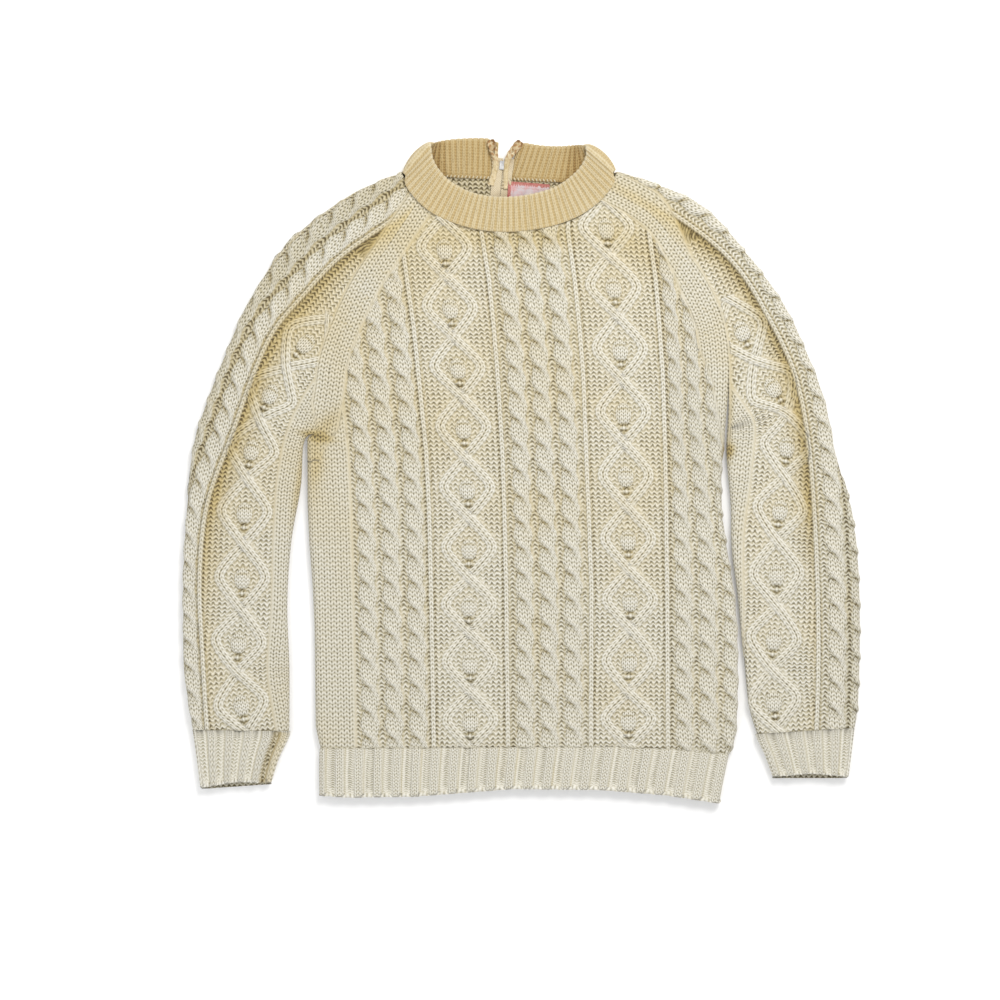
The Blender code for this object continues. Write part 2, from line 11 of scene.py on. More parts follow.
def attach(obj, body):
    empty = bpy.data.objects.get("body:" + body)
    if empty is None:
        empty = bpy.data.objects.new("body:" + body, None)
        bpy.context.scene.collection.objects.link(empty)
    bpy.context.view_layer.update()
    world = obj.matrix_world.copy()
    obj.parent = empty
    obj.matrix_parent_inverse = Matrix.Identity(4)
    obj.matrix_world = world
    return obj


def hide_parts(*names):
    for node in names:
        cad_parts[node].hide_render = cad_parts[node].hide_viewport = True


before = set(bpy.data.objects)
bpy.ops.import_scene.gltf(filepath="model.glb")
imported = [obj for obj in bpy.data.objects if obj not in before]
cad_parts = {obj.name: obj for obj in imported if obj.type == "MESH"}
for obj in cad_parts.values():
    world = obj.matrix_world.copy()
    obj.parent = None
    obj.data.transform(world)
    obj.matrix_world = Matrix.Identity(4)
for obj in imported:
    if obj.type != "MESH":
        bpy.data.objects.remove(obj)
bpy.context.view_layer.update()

# ---- Front panel
# The front is knitted from the hem up in thick cream wool: three cables at each side and in the
# middle, and two diamond panels with a bobble in each diamond, all on a purl ground. Its raglan
# edges are plain knitting, shaped by decreases, and are sewn to the sleeves.

MM = 0.001
WALE = 5.9  # one stitch across, in millimetres, as every size here
COURSE = 4.52  # one row of stitches
THICKNESS = 13.4  # of the whole garment, both layers
SIDE_RADIUS = THICKNESS / 2
SIDE_ARC = SIDE_RADIUS * math.pi / 2
WALL = 5.0
GROUND = -1.9  # the purl ground, from the cloth's outer size
UNDER_GROUND = -2.9
SEAM = 0.02  # between the edges of pieces that are sewn together
SIDE_SEAM = 1.4  # between front and back edges, at half height

LEFT_SLEEVE = (
    # inner x, inner y, outer x, outer y: the raglan seam down to the armpit, and the outer fold
    (-107.2, 282.7, -127.5, 312.0),
    (-131.8, 246.2, -178.0, 292.4),
    (-167.5, 191.6, -244.1, 242.0),
    (-195.8, 126.5, -283.0, 183.2),
    (-203.2, 84.5, -313.4, 113.9),
    (-209.5, 44.0, -334.4, 58.3),
    (-226.0, 31.0, -341.8, 34.1),
    (-230.0, -17.3, -351.2, -27.8),
    (-239.9, -75.1, -355.4, -87.7),
    (-244.1, -140.2, -356.4, -152.0),
    (-242.0, -205.0, -355.2, -215.0),
    (-242.0, -273.5, -344.9, -272.5),
)
LEFT_ARMPIT = 6
RIGHT_SLEEVE = (
    # inner x, inner y, outer x, outer y
    (91.2, 295.2, 104.5, 314.5),
    (136.0, 269.3, 140.0, 302.5),
    (167.5, 232.6, 193.2, 276.7),
    (193.7, 195.8, 238.9, 227.3),
    (211.6, 158.0, 276.7, 174.8),
    (217.9, 116.0, 300.8, 124.4),
    (217.9, 70.9, 319.7, 74.0),
    (215.6, 19.4, 332.3, 21.5),
    (220.0, -36.2, 346.0, -31.0),
    (221.2, -83.5, 353.3, -78.2),
    (227.4, -131.8, 356.4, -136.0),
    (232.6, -188.5, 356.4, -199.0),
    (238.4, -246.2, 354.4, -249.0),
    (246.8, -276.7, 351.2, -270.4),
)
RIGHT_ARMPIT = 7
ARMPIT_TURNS = {-1: 0.7, 1: 1.8}  # rows of a sleeve's table over which the raglan seam rolls under
BODY_SIDES = (
    # up from hem rib (0) to armpits (1), left x, right x
    (0.00, -211.6, 221.0),
    (0.07, -216.4, 227.0),
    (0.23, -217.0, 230.0),
    (0.40, -217.6, 229.2),
    (0.53, -219.6, 225.0),
    (0.66, -223.0, 218.0),
    (0.80, -224.9, 211.6),
    (0.92, -225.0, 211.0),
    (1.00, -225.2, 214.8),
)
HEM = (
    # across, top y and bottom y of the hem rib
    (0.00, -291.5, -341.5),
    (0.07, -291.3, -343.5),
    (0.24, -291.0, -342.5),
    (0.48, -290.5, -334.5),
    (0.70, -289.8, -335.5),
    (0.86, -292.5, -341.0),
    (1.00, -297.5, -350.0),
)
NECK_CENTRE, NECK_RADII = (-12.0, 307.0), (105.0, 55.8)
NECK_ANGLES = (206.0, 348.5)  # where the front raglan seams meet the collar
NECK_BOW = 1.6  # how soon the courses below the neckline straighten out
BACK_NECK = {-1: np.array((-88.0, 310.0)), 1: np.array((69.0, 303.0))}
BACK_NECK_SHARE = 0.8  # of the raglan seam, over which the back's comes under the front's
ARMPIT_SHARE = 0.56  # of a panel's rows, below the armpits

LADDERS = (
    # y, then the x of the four single plain stitches that frame the diamond panels
    (250, -126.0, -41.0, 50.0, 135.0),
    (200, -119.0, -33.0, 57.0, 142.0),
    (150, -112.0, -28.0, 62.0, 146.0),
    (100, -107.0, -24.0, 66.0, 149.5),
    (20, -99.0, -19.0, 69.0, 152.0),
    (-40, -96.0, -17.0, 71.5, 153.0),
    (-120, -94.0, -15.0, 74.5, 154.0),
    (-288, -91.0, -13.0, 74.0, 155.0),
)
DIAMONDS_LEFT = (
    # y and x of each crossing
    (265, -82), (204, -78), (140, -70), (78, -62), (14, -58), (-49, -54), (-112, -54),
    (-169, -54), (-232, -52), (-291, -53), (-350, -53),
)
DIAMONDS_RIGHT = (
    (286, 87), (226, 93), (162, 102), (95, 107), (29, 109), (-38, 112), (-104, 114),
    (-166, 116), (-232, 113), (-289, 114), (-350, 114),
)
CABLE_PITCH = 25.4
CABLE_ROWS = 6
CABLES_LEFT = 124.4  # y of a crossing in each group of three cables
CABLES_MIDDLE = 79.3
CABLES_RIGHT = 59.3
LEFT_OFFSET, RIGHT_OFFSET = -15.8, 17.3  # of the nearest cable, from its ladder
RIGHT_NARROWING = ((50, 0.75), (-100, 1.0))  # y, and how far the right side's cables close up
SIDE_PLAIN = 82.0  # beyond this from the left ladder, the side is plain knitting
LEFT_BAND = 18.0
RIGHT_BAND = ((300, 12), (235, 15), (182, 27), (130, 30), (95, 18), (40, 6), (-40, 3))

CREASES = (
    # x, y, half length, half width, turn, rise: soft swellings, troughs and folds
    (-305.0, 60.0, 140.0, 16.0, 62.0, -0.5),
    (-275.0, 40.0, 120.0, 22.0, 70.0, 0.6),
    (290.0, 60.0, 150.0, 20.0, -68.0, 0.5),
    (0.0, 120.0, 150.0, 60.0, 4.0, 0.5),
    (-120.0, -120.0, 160.0, 40.0, 86.0, -0.6),
    (205.0, -100.0, 150.0, 18.0, 92.0, 0.6),
    (80.0, -200.0, 110.0, 30.0, 20.0, -0.5),
    (177.0, 20.0, 95.0, 6.0, -82.0, -1.7),
    (196.0, 60.0, 80.0, 7.0, -86.0, 0.9),
    (-208.0, 52.0, 26.0, 7.0, 62.0, -2.2),
    (-196.0, 30.0, 30.0, 9.0, -24.0, 1.0),
    (-238.0, 62.0, 30.0, 8.0, -62.0, -1.4),
    (206.0, 96.0, 36.0, 7.0, -84.0, 1.0),
    (236.0, 20.0, 34.0, 7.0, 58.0, -1.5),
    (-262.0, -70.0, 44.0, 10.0, 74.0, 0.8),
    (300.0, -120.0, 70.0, 13.0, -80.0, -0.8),
    (-150.0, -235.0, 60.0, 16.0, 8.0, 0.7),
    (40.0, -262.0, 90.0, 11.0, -3.0, -0.8),
    (-60.0, 232.0, 60.0, 12.0, -28.0, 0.6),
    (60.0, 225.0, 55.0, 12.0, 32.0, -0.7),
)


def spline(table, at):
    """A table's rows at fractional places, on a smooth curve through them."""
    rows = np.array(table, float)
    low = np.clip(np.floor(at).astype(int), 0, len(rows) - 2)
    share = (at - low)[..., None]
    a, b, c = rows[np.maximum(low - 1, 0)], rows[low], rows[low + 1]
    d = rows[np.minimum(low + 2, len(rows) - 1)]
    bend = (c - a) * share + (2 * a - 5 * b + 4 * c - d) * share**2
    return b + 0.5 * (bend + (3 * b - a - 3 * c + d) * share**3)


def lookup(table, key, column=1):
    """A table's column, read between its rows by the first one, whichever way that runs."""
    rows = np.array(table, float)
    order = np.argsort(rows[:, 0])
    return np.interp(key, rows[order, 0], rows[order, column])


def ease(share):
    share = np.clip(share, 0.0, 1.0)
    return share * share * (3 - 2 * share)


def bell(distance, width):
    return np.exp(-((distance / width) ** 2))


class Guide:
    """A line that stitches follow, from the neck end down."""

    OVERRUN = 70.0

    def __init__(self, table, steps=64):
        points = spline(table, np.linspace(0, len(table) - 1, steps))
        self.start = points[:-1]
        self.step = np.diff(points, axis=0)
        self.length = np.hypot(self.step[:, 0], self.step[:, 1])
        self.before = np.concatenate([[0.0], np.cumsum(self.length)[:-1]])

    def measure(self, x, y):
        """How far along the line each point lies, and how far to the right of it."""
        along, aside = np.empty(len(x)), np.empty(len(x))
        low, high = np.zeros(len(self.length)), np.ones(len(self.length))
        low[0] -= self.OVERRUN / self.length[0]
        high[-1] += self.OVERRUN / self.length[-1]
        for part in np.array_split(np.arange(len(x)), len(x) // 20000 + 1):
            dx = x[part, None] - self.start[:, 0]
            dy = y[part, None] - self.start[:, 1]
            share = (dx * self.step[:, 0] + dy * self.step[:, 1]) / self.length**2
            share = np.clip(share, low, high)
            off_x, off_y = dx - share * self.step[:, 0], dy - share * self.step[:, 1]
            gap = np.hypot(off_x, off_y)
            best = np.argmin(gap, axis=1)
            pick = np.arange(len(part)), best
            turn = self.step[best, 0] * dy[pick] - self.step[best, 1] * dx[pick]
            along[part] = self.before[best] + share[pick] * self.length[best]
            aside[part] = gap[pick] * np.sign(turn)
        return along, aside


class Knit:
    """The stitches at each point of a piece. Purl ones are the ground, with their counts across
    and along. Plain ones stand on it: margin is how far inside their edge a point lies. Then
    come the rise from the ground, the painted shade (a painted highlight where it is below
    zero), how far the stitches are drawn out, and how golden they look: more golden where
    shade is painted in slits, valleys and folds, paler where the tone is lighter."""

    BESIDE = 4.0
    NAMES = ("purl", "plain", "margin", "rise", "painted_shade", "drawn", "gold")

    def __init__(self, across, along):
        count = len(across)
        self.purl = np.stack([across / WALE, along / COURSE, np.zeros(count)], axis=1)
        self.plain = np.zeros((count, 3))
        self.margin = np.full(count, -self.BESIDE)
        self.rise, self.painted_shade, self.drawn, self.gold = np.zeros((4, count))

    def clear(self, where, across, along):
        """Purl ground, in place of whatever was there."""
        self.replace(where, Knit(across, along))

    def replace(self, where, other):
        for name in self.NAMES:
            mine, theirs = getattr(self, name), getattr(other, name)
            chosen = where if mine.ndim == 1 else where[:, None]
            setattr(self, name, np.where(chosen, theirs, mine))

    def work(self, rise, across, along, margin, drawn=0.0):
        """Plain stitches, over what lies lower."""
        inside = (margin > 0) & (rise > self.rise)
        self.take(inside | ((margin <= 0) & (margin > self.margin)), across, along, margin, drawn)
        self.rise = np.where(inside, rise, self.rise)
        self.painted_shade = np.where(inside, 0.0, self.painted_shade)

    def stocking(self, aside, along, margin):
        """Plain knitting, in place of whatever was there, smooth along its border."""
        edged = self.margin < 0.5
        merged = np.where(margin > 0, np.maximum(margin, np.minimum(self.margin, 3.0)), -9.0)
        border = bell(margin, 1.5)
        margin = np.where(edged, margin, merged)
        self.take(margin > -1.2, aside / WALE, along / COURSE, margin, 0.0)
        self.rise = np.where(margin > 0, 0.9, self.rise)
        # Painted shade over the plain knitting, deeper along its border.
        self.painted_shade = np.where(margin > -1.2, 0.13, self.painted_shade) + 0.24 * border
        self.drawn = np.maximum(self.drawn, 1.7 * border)
        self.sink(0.3 * bell(margin, 1.4) * edged, 0.12 * bell(margin + 0.6, 1.0) * edged)

    def take(self, where, across, along, margin, drawn):
        counts = np.stack([across, along, np.zeros(len(across))], axis=1)
        self.plain = np.where(where[:, None], counts, self.plain)
        self.margin = np.where(where, np.clip(margin, -self.BESIDE, self.BESIDE), self.margin)
        self.drawn = np.where(where, drawn, self.drawn)

    def sink(self, depth, shadow):
        """A dip, and the shadow in it."""
        self.rise = self.rise - depth
        self.painted_shade = np.maximum(self.painted_shade, shadow)


def cable(knit, aside, along, crossing, scale=1.0):
    """Six stitches, three crossed over three every six rows, the left ones always in front."""
    half, height, tilt, drift = 9.6, 3.4, 0.2, 1.8
    across = aside / (half * scale)
    level = (along - crossing) / (CABLE_ROWS * COURSE)
    turns = level - tilt * across
    late = turns - np.round(turns)  # below 0 above the nearest crossing, and above 0 below it
    waist = np.cos(2 * math.pi * (level + 0.06)) * 0.5 + 0.5
    gap = across / (1.04 - 0.27 * waist)
    front = bell(late + 0.15, 0.15) * ease((across + 0.85) / 0.6)
    front = np.clip(front + bell(late - 0.1, 0.2) * ease((across - 0.1) / 0.7), 0, 1)
    slit = bell(late, 0.036) * bell(across + 0.42, 0.62)
    below = bell(late - 0.08, 0.08) * bell(across + 0.3, 0.6)
    steep = level - 0.45 * across - np.round(level - 0.45 * across)
    stroke = bell(steep + 0.12, 0.085) * ease((across + 0.75) / 0.5)
    shade = bell(steep - 0.06, 0.06) * ease((0.9 - across) / 0.7)
    round_off = np.clip(1 - np.abs(gap) ** 3.2, 0, 1) ** 0.5
    rise = (0.62 + 0.28 * front + 0.2 * stroke) * height * round_off - slit - 0.5 * below - 0.5 * shade
    lean = drift * (turns + 0.15 * np.sin(2 * math.pi * turns))
    counts = (gap + 1) * drift - lean
    knit.work(rise, counts, along / COURSE - 0.35 * across, (1 - np.abs(gap)) * half * scale,
              np.maximum(0.7 * front, 0.9 * stroke))
    inside = (np.abs(gap) < 1) & (knit.rise == rise)
    # Painted shade in the slits, just below them and beside each front strand; a painted highlight along
    # the stroke of each front strand. The slits also get golden painted shade, and the rest of the cable is
    # paler.
    shadow = 0.08 + 0.68 * slit + 0.12 * below + 0.18 * shade - 0.04 * front - 0.44 * stroke
    knit.painted_shade = np.where(inside, shadow, knit.painted_shade)
    knit.gold = np.where(inside, 0.8 * slit - 0.15, knit.gold)
    # Painted shade in the purl along the cable's edges, deepest at its waist.
    edge = bell((np.abs(gap) - 1.0) * half - 1.4, 1.6) * (np.abs(gap) > 1)
    knit.painted_shade = np.maximum(knit.painted_shade, (0.2 + 0.14 * waist) * edge)


def ladder(knit, aside, along, rise=1.7):
    """One plain stitch, standing between purl ones."""
    half = 2.5
    gap = aside / half
    height = rise * np.sqrt(np.clip(1 - gap * gap, 0, 1))
    knit.work(height, gap / 2 + 0.5, along / COURSE, (1 - np.abs(gap)) * half, 0.1)
    # Painted shade in the purl beside the stitch.
    knit.painted_shade = np.maximum(knit.painted_shade, 0.34 * bell(np.abs(aside) - 3.5, 1.0))


def diamonds(knit, aside, along, crossings):
    """Two bands of two stitches that part and cross again, with a bobble in each diamond."""
    spread, band, height, lift, corner = 24.2, 5.6, 2.4, 1.2, 0.05
    count = np.interp(along, crossings, np.arange(len(crossings)))
    share = count - np.floor(count)
    pitch = np.diff(crossings)[np.clip(count.astype(int), 0, len(crossings) - 2)]
    swing = np.abs(2 * share - 1)
    bent = np.sqrt(swing**2 + corner)
    widest = math.sqrt(1 + corner)
    apart = spread * (widest - bent) / (widest - math.sqrt(corner))
    slope = spread * 2 / pitch * swing / bent
    upright = 1 / np.sqrt(1 + slope**2)
    near = bell((0.5 - np.abs(share - 0.5)) * pitch, 9.0)
    for side in (-1, 1):
        in_front = np.where((share > 0.5) == (side < 0), 1.0, -1.0)
        gap = (aside - side * apart) * upright / band
        two = np.sqrt(np.clip(1 - gap**2, 0, 1)) * (1 - 0.3 * bell(gap, 0.16))
        rise = (height + lift * in_front * near) * two
        drawn = 0.35 + 0.4 * near * (in_front > 0)
        knit.work(rise, gap + 1, along / COURSE, (1 - np.abs(gap)) * band, drawn)
        mine = (np.abs(gap) < 1) & (knit.rise == rise)
        # Painted shade down the middle of each band and in the purl beside it; a painted highlight on the
        # band in front near each crossing.
        centre = 0.42 * bell(gap, 0.12) - 0.08 * near * in_front * (1 - bell(gap, 0.2))
        knit.painted_shade = np.where(mine, centre, knit.painted_shade)
        knit.painted_shade = np.maximum(knit.painted_shade, 0.13 * bell((np.abs(gap) - 1) * band - 1.5, 1.2))
    down = (share - 0.5) * pitch
    reach = np.hypot(aside / 8.6, (down - 2.4) / 11.4)
    rise = 2.9 * np.clip(1 - reach**3, 0, 1) ** 0.6
    knit.work(rise, aside / 4.2, down / 4.0, (1 - reach) * 8.4, 0.2)
    # Painted shade round the bobble's foot.
    knit.painted_shade = knit.painted_shade + 0.24 * bell(reach - 1.05, 0.09)
    brow = bell(down + 3.4 - 0.05 * aside**2, 1.2) * (np.abs(aside) < 6.5)
    ring = np.hypot(aside / 3.5, (down - 17.4) / 3.3)
    rise = 2.8 * np.sqrt(np.clip(1 - ring**2, 0, 1))
    knit.work(rise, aside / 7.0 + 0.25, down / 9.0, (1 - ring) * 3.5, 1.0)
    eye = 1.0 * bell(ring - 1.0, 0.42) * ease((np.abs(down - 17.4) - 0.6) / 1.2)
    # The bobble's arch and the knot below it sink, with shade painted in them.
    dent = np.maximum(0.45 * brow * (reach < 1), eye)
    knit.sink(0.8 * dent, dent)


RAGLANS = {
    -1: Guide([row[:2] for row in LEFT_SLEEVE[:LEFT_ARMPIT]] + [(-210.0, 24.0)]),
    1: Guide([row[:2] for row in RIGHT_SLEEVE[: RIGHT_ARMPIT + 1]]),
}


def body_stitches(x, y):
    """The front's pattern, which the back repeats."""
    down = -y
    ladders = [lookup(LADDERS, y, column) for column in (1, 2, 3, 4)]
    middle = (ladders[1] + ladders[2]) / 2
    narrow = lookup(RIGHT_NARROWING, y)
    pitch_right = CABLE_PITCH * narrow
    groups = (
        # the middle cable's x, the distance to its neighbours, and a crossing's y
        (ladders[0] + LEFT_OFFSET - CABLE_PITCH, CABLE_PITCH, CABLES_LEFT),
        (middle, CABLE_PITCH, CABLES_MIDDLE),
        (ladders[3] + RIGHT_OFFSET * narrow + pitch_right, pitch_right, CABLES_RIGHT),
    )
    nearest = [x < ladders[0], (x >= ladders[0]) & (x < ladders[3]), x >= ladders[3]]
    count = np.select(nearest, [(x - group[0]) / group[1] * 4 for group in groups])
    knit = Knit(count * WALE, down)
    for table, low, high in ((DIAMONDS_LEFT, 0, 1), (DIAMONDS_RIGHT, 2, 3)):
        inside = (x > ladders[low]) & (x < ladders[high])
        line = x - lookup(table, y)
        panel = Knit(line, down)
        diamonds(panel, line, down, [-row[0] for row in table])
        knit.replace(inside, panel)
    for centre, pitch, crossing in groups:
        for number in (-1, 0, 1):
            cable(knit, x - centre - number * pitch, down, -crossing, pitch / CABLE_PITCH)
    for line in ladders:
        ladder(knit, x - line, down)
    side = x - ladders[0] + SIDE_PLAIN
    knit.stocking(side, down, -side)
    for hand, width in ((-1, LEFT_BAND), (1, lookup(RIGHT_BAND, y))):
        along, aside = RAGLANS[hand].measure(x, y)
        inwards = -hand * aside
        fade = ease((y - 10) / 40)
        knit.stocking(inwards, along, np.where(y > 10, width * fade - inwards, -9.0))
        knit.sink(0.3 * bell(inwards, 1.6) * fade, 0.12 * bell(inwards, 1.3) * fade)
    return knit


def spots(table, x, y):
    """For each row, how near the points are to its middle, and the row's strengths."""
    for at_x, at_y, half_length, half_width, turn, *strengths in table:
        run_x, run_y = math.cos(math.radians(turn)), math.sin(math.radians(turn))
        run = (x - at_x) * run_x + (y - at_y) * run_y
        side = (x - at_x) * run_y - (y - at_y) * run_x
        yield np.exp(-((run / half_length) ** 2) - (side / half_width) ** 2), strengths


def swell(x, y):
    """How far creases lift the upper layer."""
    return sum(rise * near for near, (rise,) in spots(CREASES, x, y))


def section(left, right, rounded, share, edge_share, upper):
    """Points across one layer, from its left edge to its right one, round both sides.
    Returns places, normals, and how much longer the cloth is than it looks from above."""
    run = right - left
    run = run / np.hypot(run[:, 0], run[:, 1])[:, None]
    near_left = share < 0.5
    step = np.clip(np.minimum(share, 1 - share) / edge_share, 0, 1)
    rounding = np.where(near_left, rounded[0], rounded[1])
    angle = step * math.pi / 2
    out = rounding * SIDE_RADIUS * (1 - np.cos(angle)) + (1 - rounding) * step * SIDE_ARC
    up = rounding * np.sin(angle) + (1 - rounding)
    inwards = run * np.where(near_left, 1.0, -1.0)[:, None]
    at_edge = np.where(near_left[:, None], left, right) + inwards * out[:, None]
    starts = [(part * SIDE_RADIUS + (1 - part) * SIDE_ARC)[:, None] for part in rounded]
    middle = ((share - edge_share) / (1 - 2 * edge_share))[:, None]
    low, high = left + run * starts[0], right - run * starts[1]
    place = np.where((step < 1)[:, None], at_edge, low + (high - low) * middle)
    top = THICKNESS + swell(place[:, 0], place[:, 1]) if upper else THICKNESS
    half = THICKNESS / 2
    if upper:
        level = half + SIDE_SEAM / 2 + (top - half - SIDE_SEAM / 2) * up
    else:
        level = (half - SIDE_SEAM / 2) * (1 - up)
    lean = (rounding * np.cos(angle))[:, None]
    facing = np.concatenate([-inwards * lean, (up if upper else -up)[:, None]], axis=1)
    facing /= np.linalg.norm(facing, axis=1)[:, None]
    longer = rounding * (SIDE_ARC * (1 - step) - (SIDE_RADIUS - SIDE_RADIUS * (1 - np.cos(angle))))
    return np.concatenate([place, level[:, None]], axis=1), facing, longer * -inwards[:, 0]


def armpit_y(hand):
    return LEFT_SLEEVE[LEFT_ARMPIT][1] if hand < 0 else RIGHT_SLEEVE[RIGHT_ARMPIT][1]


def raglan(hand, share):
    """A front raglan seam from the neck (0) to the armpit (1), and how far it has turned under."""
    table, armpit = (LEFT_SLEEVE, LEFT_ARMPIT) if hand < 0 else (RIGHT_SLEEVE, RIGHT_ARMPIT)
    at = armpit * share
    return spline(table, at)[:, :2], ease((at - armpit) / ARMPIT_TURNS[hand] + 1)


def back_raglan(hand, share):
    point, turned = raglan(hand, share)
    shift = BACK_NECK[hand] - raglan(hand, np.zeros(1))[0][0]
    return point + shift * (1 - ease(share / BACK_NECK_SHARE))[:, None], turned


def ellipse(centre, radii, degrees):
    turn = np.radians(degrees)
    return np.stack([centre[0] + radii[0] * np.cos(turn), centre[1] + radii[1] * np.sin(turn)], axis=-1)


def body_edges(rows, back):
    """Left and right ends of a body panel's courses, from hem (0) to neck (1)."""
    up = rows / ARMPIT_SHARE
    neck = np.clip((rows - ARMPIT_SHARE) / (1 - ARMPIT_SHARE), 0, 1)
    ends = []
    for hand, column in ((-1, 1), (1, 2)):
        hem_y = HEM[0][1] if hand < 0 else HEM[-1][1]
        side = np.stack([lookup(BODY_SIDES, up, column), hem_y + (armpit_y(hand) - hem_y) * up], axis=1)
        seam, turned = (back_raglan if back else raglan)(hand, 1 - neck)
        seam[:, 0] -= hand * SEAM
        below = rows <= ARMPIT_SHARE
        ends.append((np.where(below[:, None], side, seam), np.where(below, 1.0, turned)))
    (left, left_turned), (right, right_turned) = ends
    return left, right, (left_turned, right_turned)


def body_form(back, edge_share):
    def form(share, rows):
        left, right, rounded = body_edges(rows, back)
        place, facing, longer = section(left, right, rounded, share, edge_share, not back)
        width = np.hypot(*(right - left).T)
        across = np.hypot(*(place[:, :2] - left).T) / width
        up = np.clip(rows / ARMPIT_SHARE, 0, 1)
        chord = HEM[0][1] + (HEM[-1][1] - HEM[0][1]) * across
        place[:, 1] += (lookup(HEM, across) - chord) * (1 - up) + SEAM / 2 * (rows == 0)
        if not back:
            degrees = NECK_ANGLES[0] + (NECK_ANGLES[1] - NECK_ANGLES[0]) * across
            ends = [ellipse(NECK_CENTRE, NECK_RADII, angle) for angle in NECK_ANGLES]
            straight = ends[0] + (ends[1] - ends[0]) * across[:, None]
            bow = ellipse(NECK_CENTRE, NECK_RADII, degrees) - straight
            neck = np.clip((rows - ARMPIT_SHARE) / (1 - ARMPIT_SHARE), 0, 1)
            place[:, :2] += bow * (neck**NECK_BOW)[:, None]
        knit = body_stitches(place[:, 0] + longer, place[:, 1])
        above = place[:, 1] - lookup(HEM, across)
        knit.sink(0.5 * bell(above, 3.0), 0.16 * bell(above, 1.6))
        return place, facing, knit

    return form


class Socket:
    """A value in a material. Arithmetic on it adds Math nodes."""

    def __init__(self, finish, link):
        self.finish, self.link = finish, link

    def math(self, operation, first, second=0.0):
        return self.finish.node("ShaderNodeMath", {"operation": operation}, {0: first, 1: second})

    def __add__(self, other):
        return self.math("ADD", self, other)

    def __sub__(self, other):
        return self.math("SUBTRACT", self, other)

    def __rsub__(self, other):
        return self.math("SUBTRACT", other, self)

    def __mul__(self, other):
        return self.math("MULTIPLY", self, other)

    def __pow__(self, other):
        return self.math("POWER", self, other)

    def __abs__(self):
        return self.math("ABSOLUTE", self)

    def limit(self):
        return self.math("MINIMUM", self.math("MAXIMUM", self, 0.0), 1.0)

    def __mod__(self, other):
        return self.math("FLOORED_MODULO", self, other)

    __radd__, __rmul__ = __add__, __mul__


class Finish:
    """A material: its nodes, and the shader that they feed."""

    def __init__(self, name, **fixed):
        self.material = bpy.data.materials.new(name)
        self.material.use_nodes = True
        self.tree = self.material.node_tree
        self.shader = self.tree.nodes["Principled BSDF"]
        for socket, value in fixed.items():
            self.shader.inputs[socket.replace("_", " ")].default_value = value

    def node(self, kind, settings=None, sockets=None, output=0):
        """A node's output. Settings come first, then the values or links of its sockets."""
        made = self.tree.nodes.new(kind)
        for name, value in (settings or {}).items():
            if name == "stops":
                ramp = made.color_ramp.elements
                while len(ramp) < len(value):
                    ramp.new(0.5)
                for stop, (position, colour) in zip(ramp, value):
                    stop.position, stop.color = position, (*colour, 1.0)
            else:
                setattr(made, name, value)
        self.connect(made, sockets or {})
        return Socket(self, made.outputs[output])

    def connect(self, made, sockets):
        for name, value in sockets.items():
            if isinstance(value, Socket):
                self.tree.links.new(value.link, made.inputs[name])
            else:
                made.inputs[name].default_value = value

    def attribute(self, name, output="Fac"):
        return self.node("ShaderNodeAttribute", {"attribute_name": name}, output=output)

    def split(self, vector):
        parts = self.node("ShaderNodeSeparateXYZ", sockets={0: vector})
        return [Socket(self, output) for output in parts.link.node.outputs]

    def places(self):
        return self.node("ShaderNodeTexCoord", output="Object")

    def noise(self, scale, detail):
        sockets = {"Vector": self.places(), "Scale": scale, "Detail": detail}
        return self.node("ShaderNodeTexNoise", sockets=sockets)

    def ramp(self, factor, stops):
        return self.node("ShaderNodeValToRGB", {"stops": stops}, {0: factor}, "Color")

    def blend(self, factor, first, second, mode="MIX"):
        settings = {"data_type": "RGBA", "blend_type": mode}
        sockets = {0: factor, 6: first, 7: second}
        return self.node("ShaderNodeMix", settings, sockets, 2)

    def done(self, **sockets):
        """Links the shader's changing sockets. Bump is a height and its reach in metres."""
        if "Bump" in sockets:
            height, reach = sockets.pop("Bump")
            sockets["Normal"] = self.node("ShaderNodeBump", {}, {"Height": height, "Distance": reach})
        self.connect(self.shader, {name.replace("_", " "): value for name, value in sockets.items()})
        return self.material


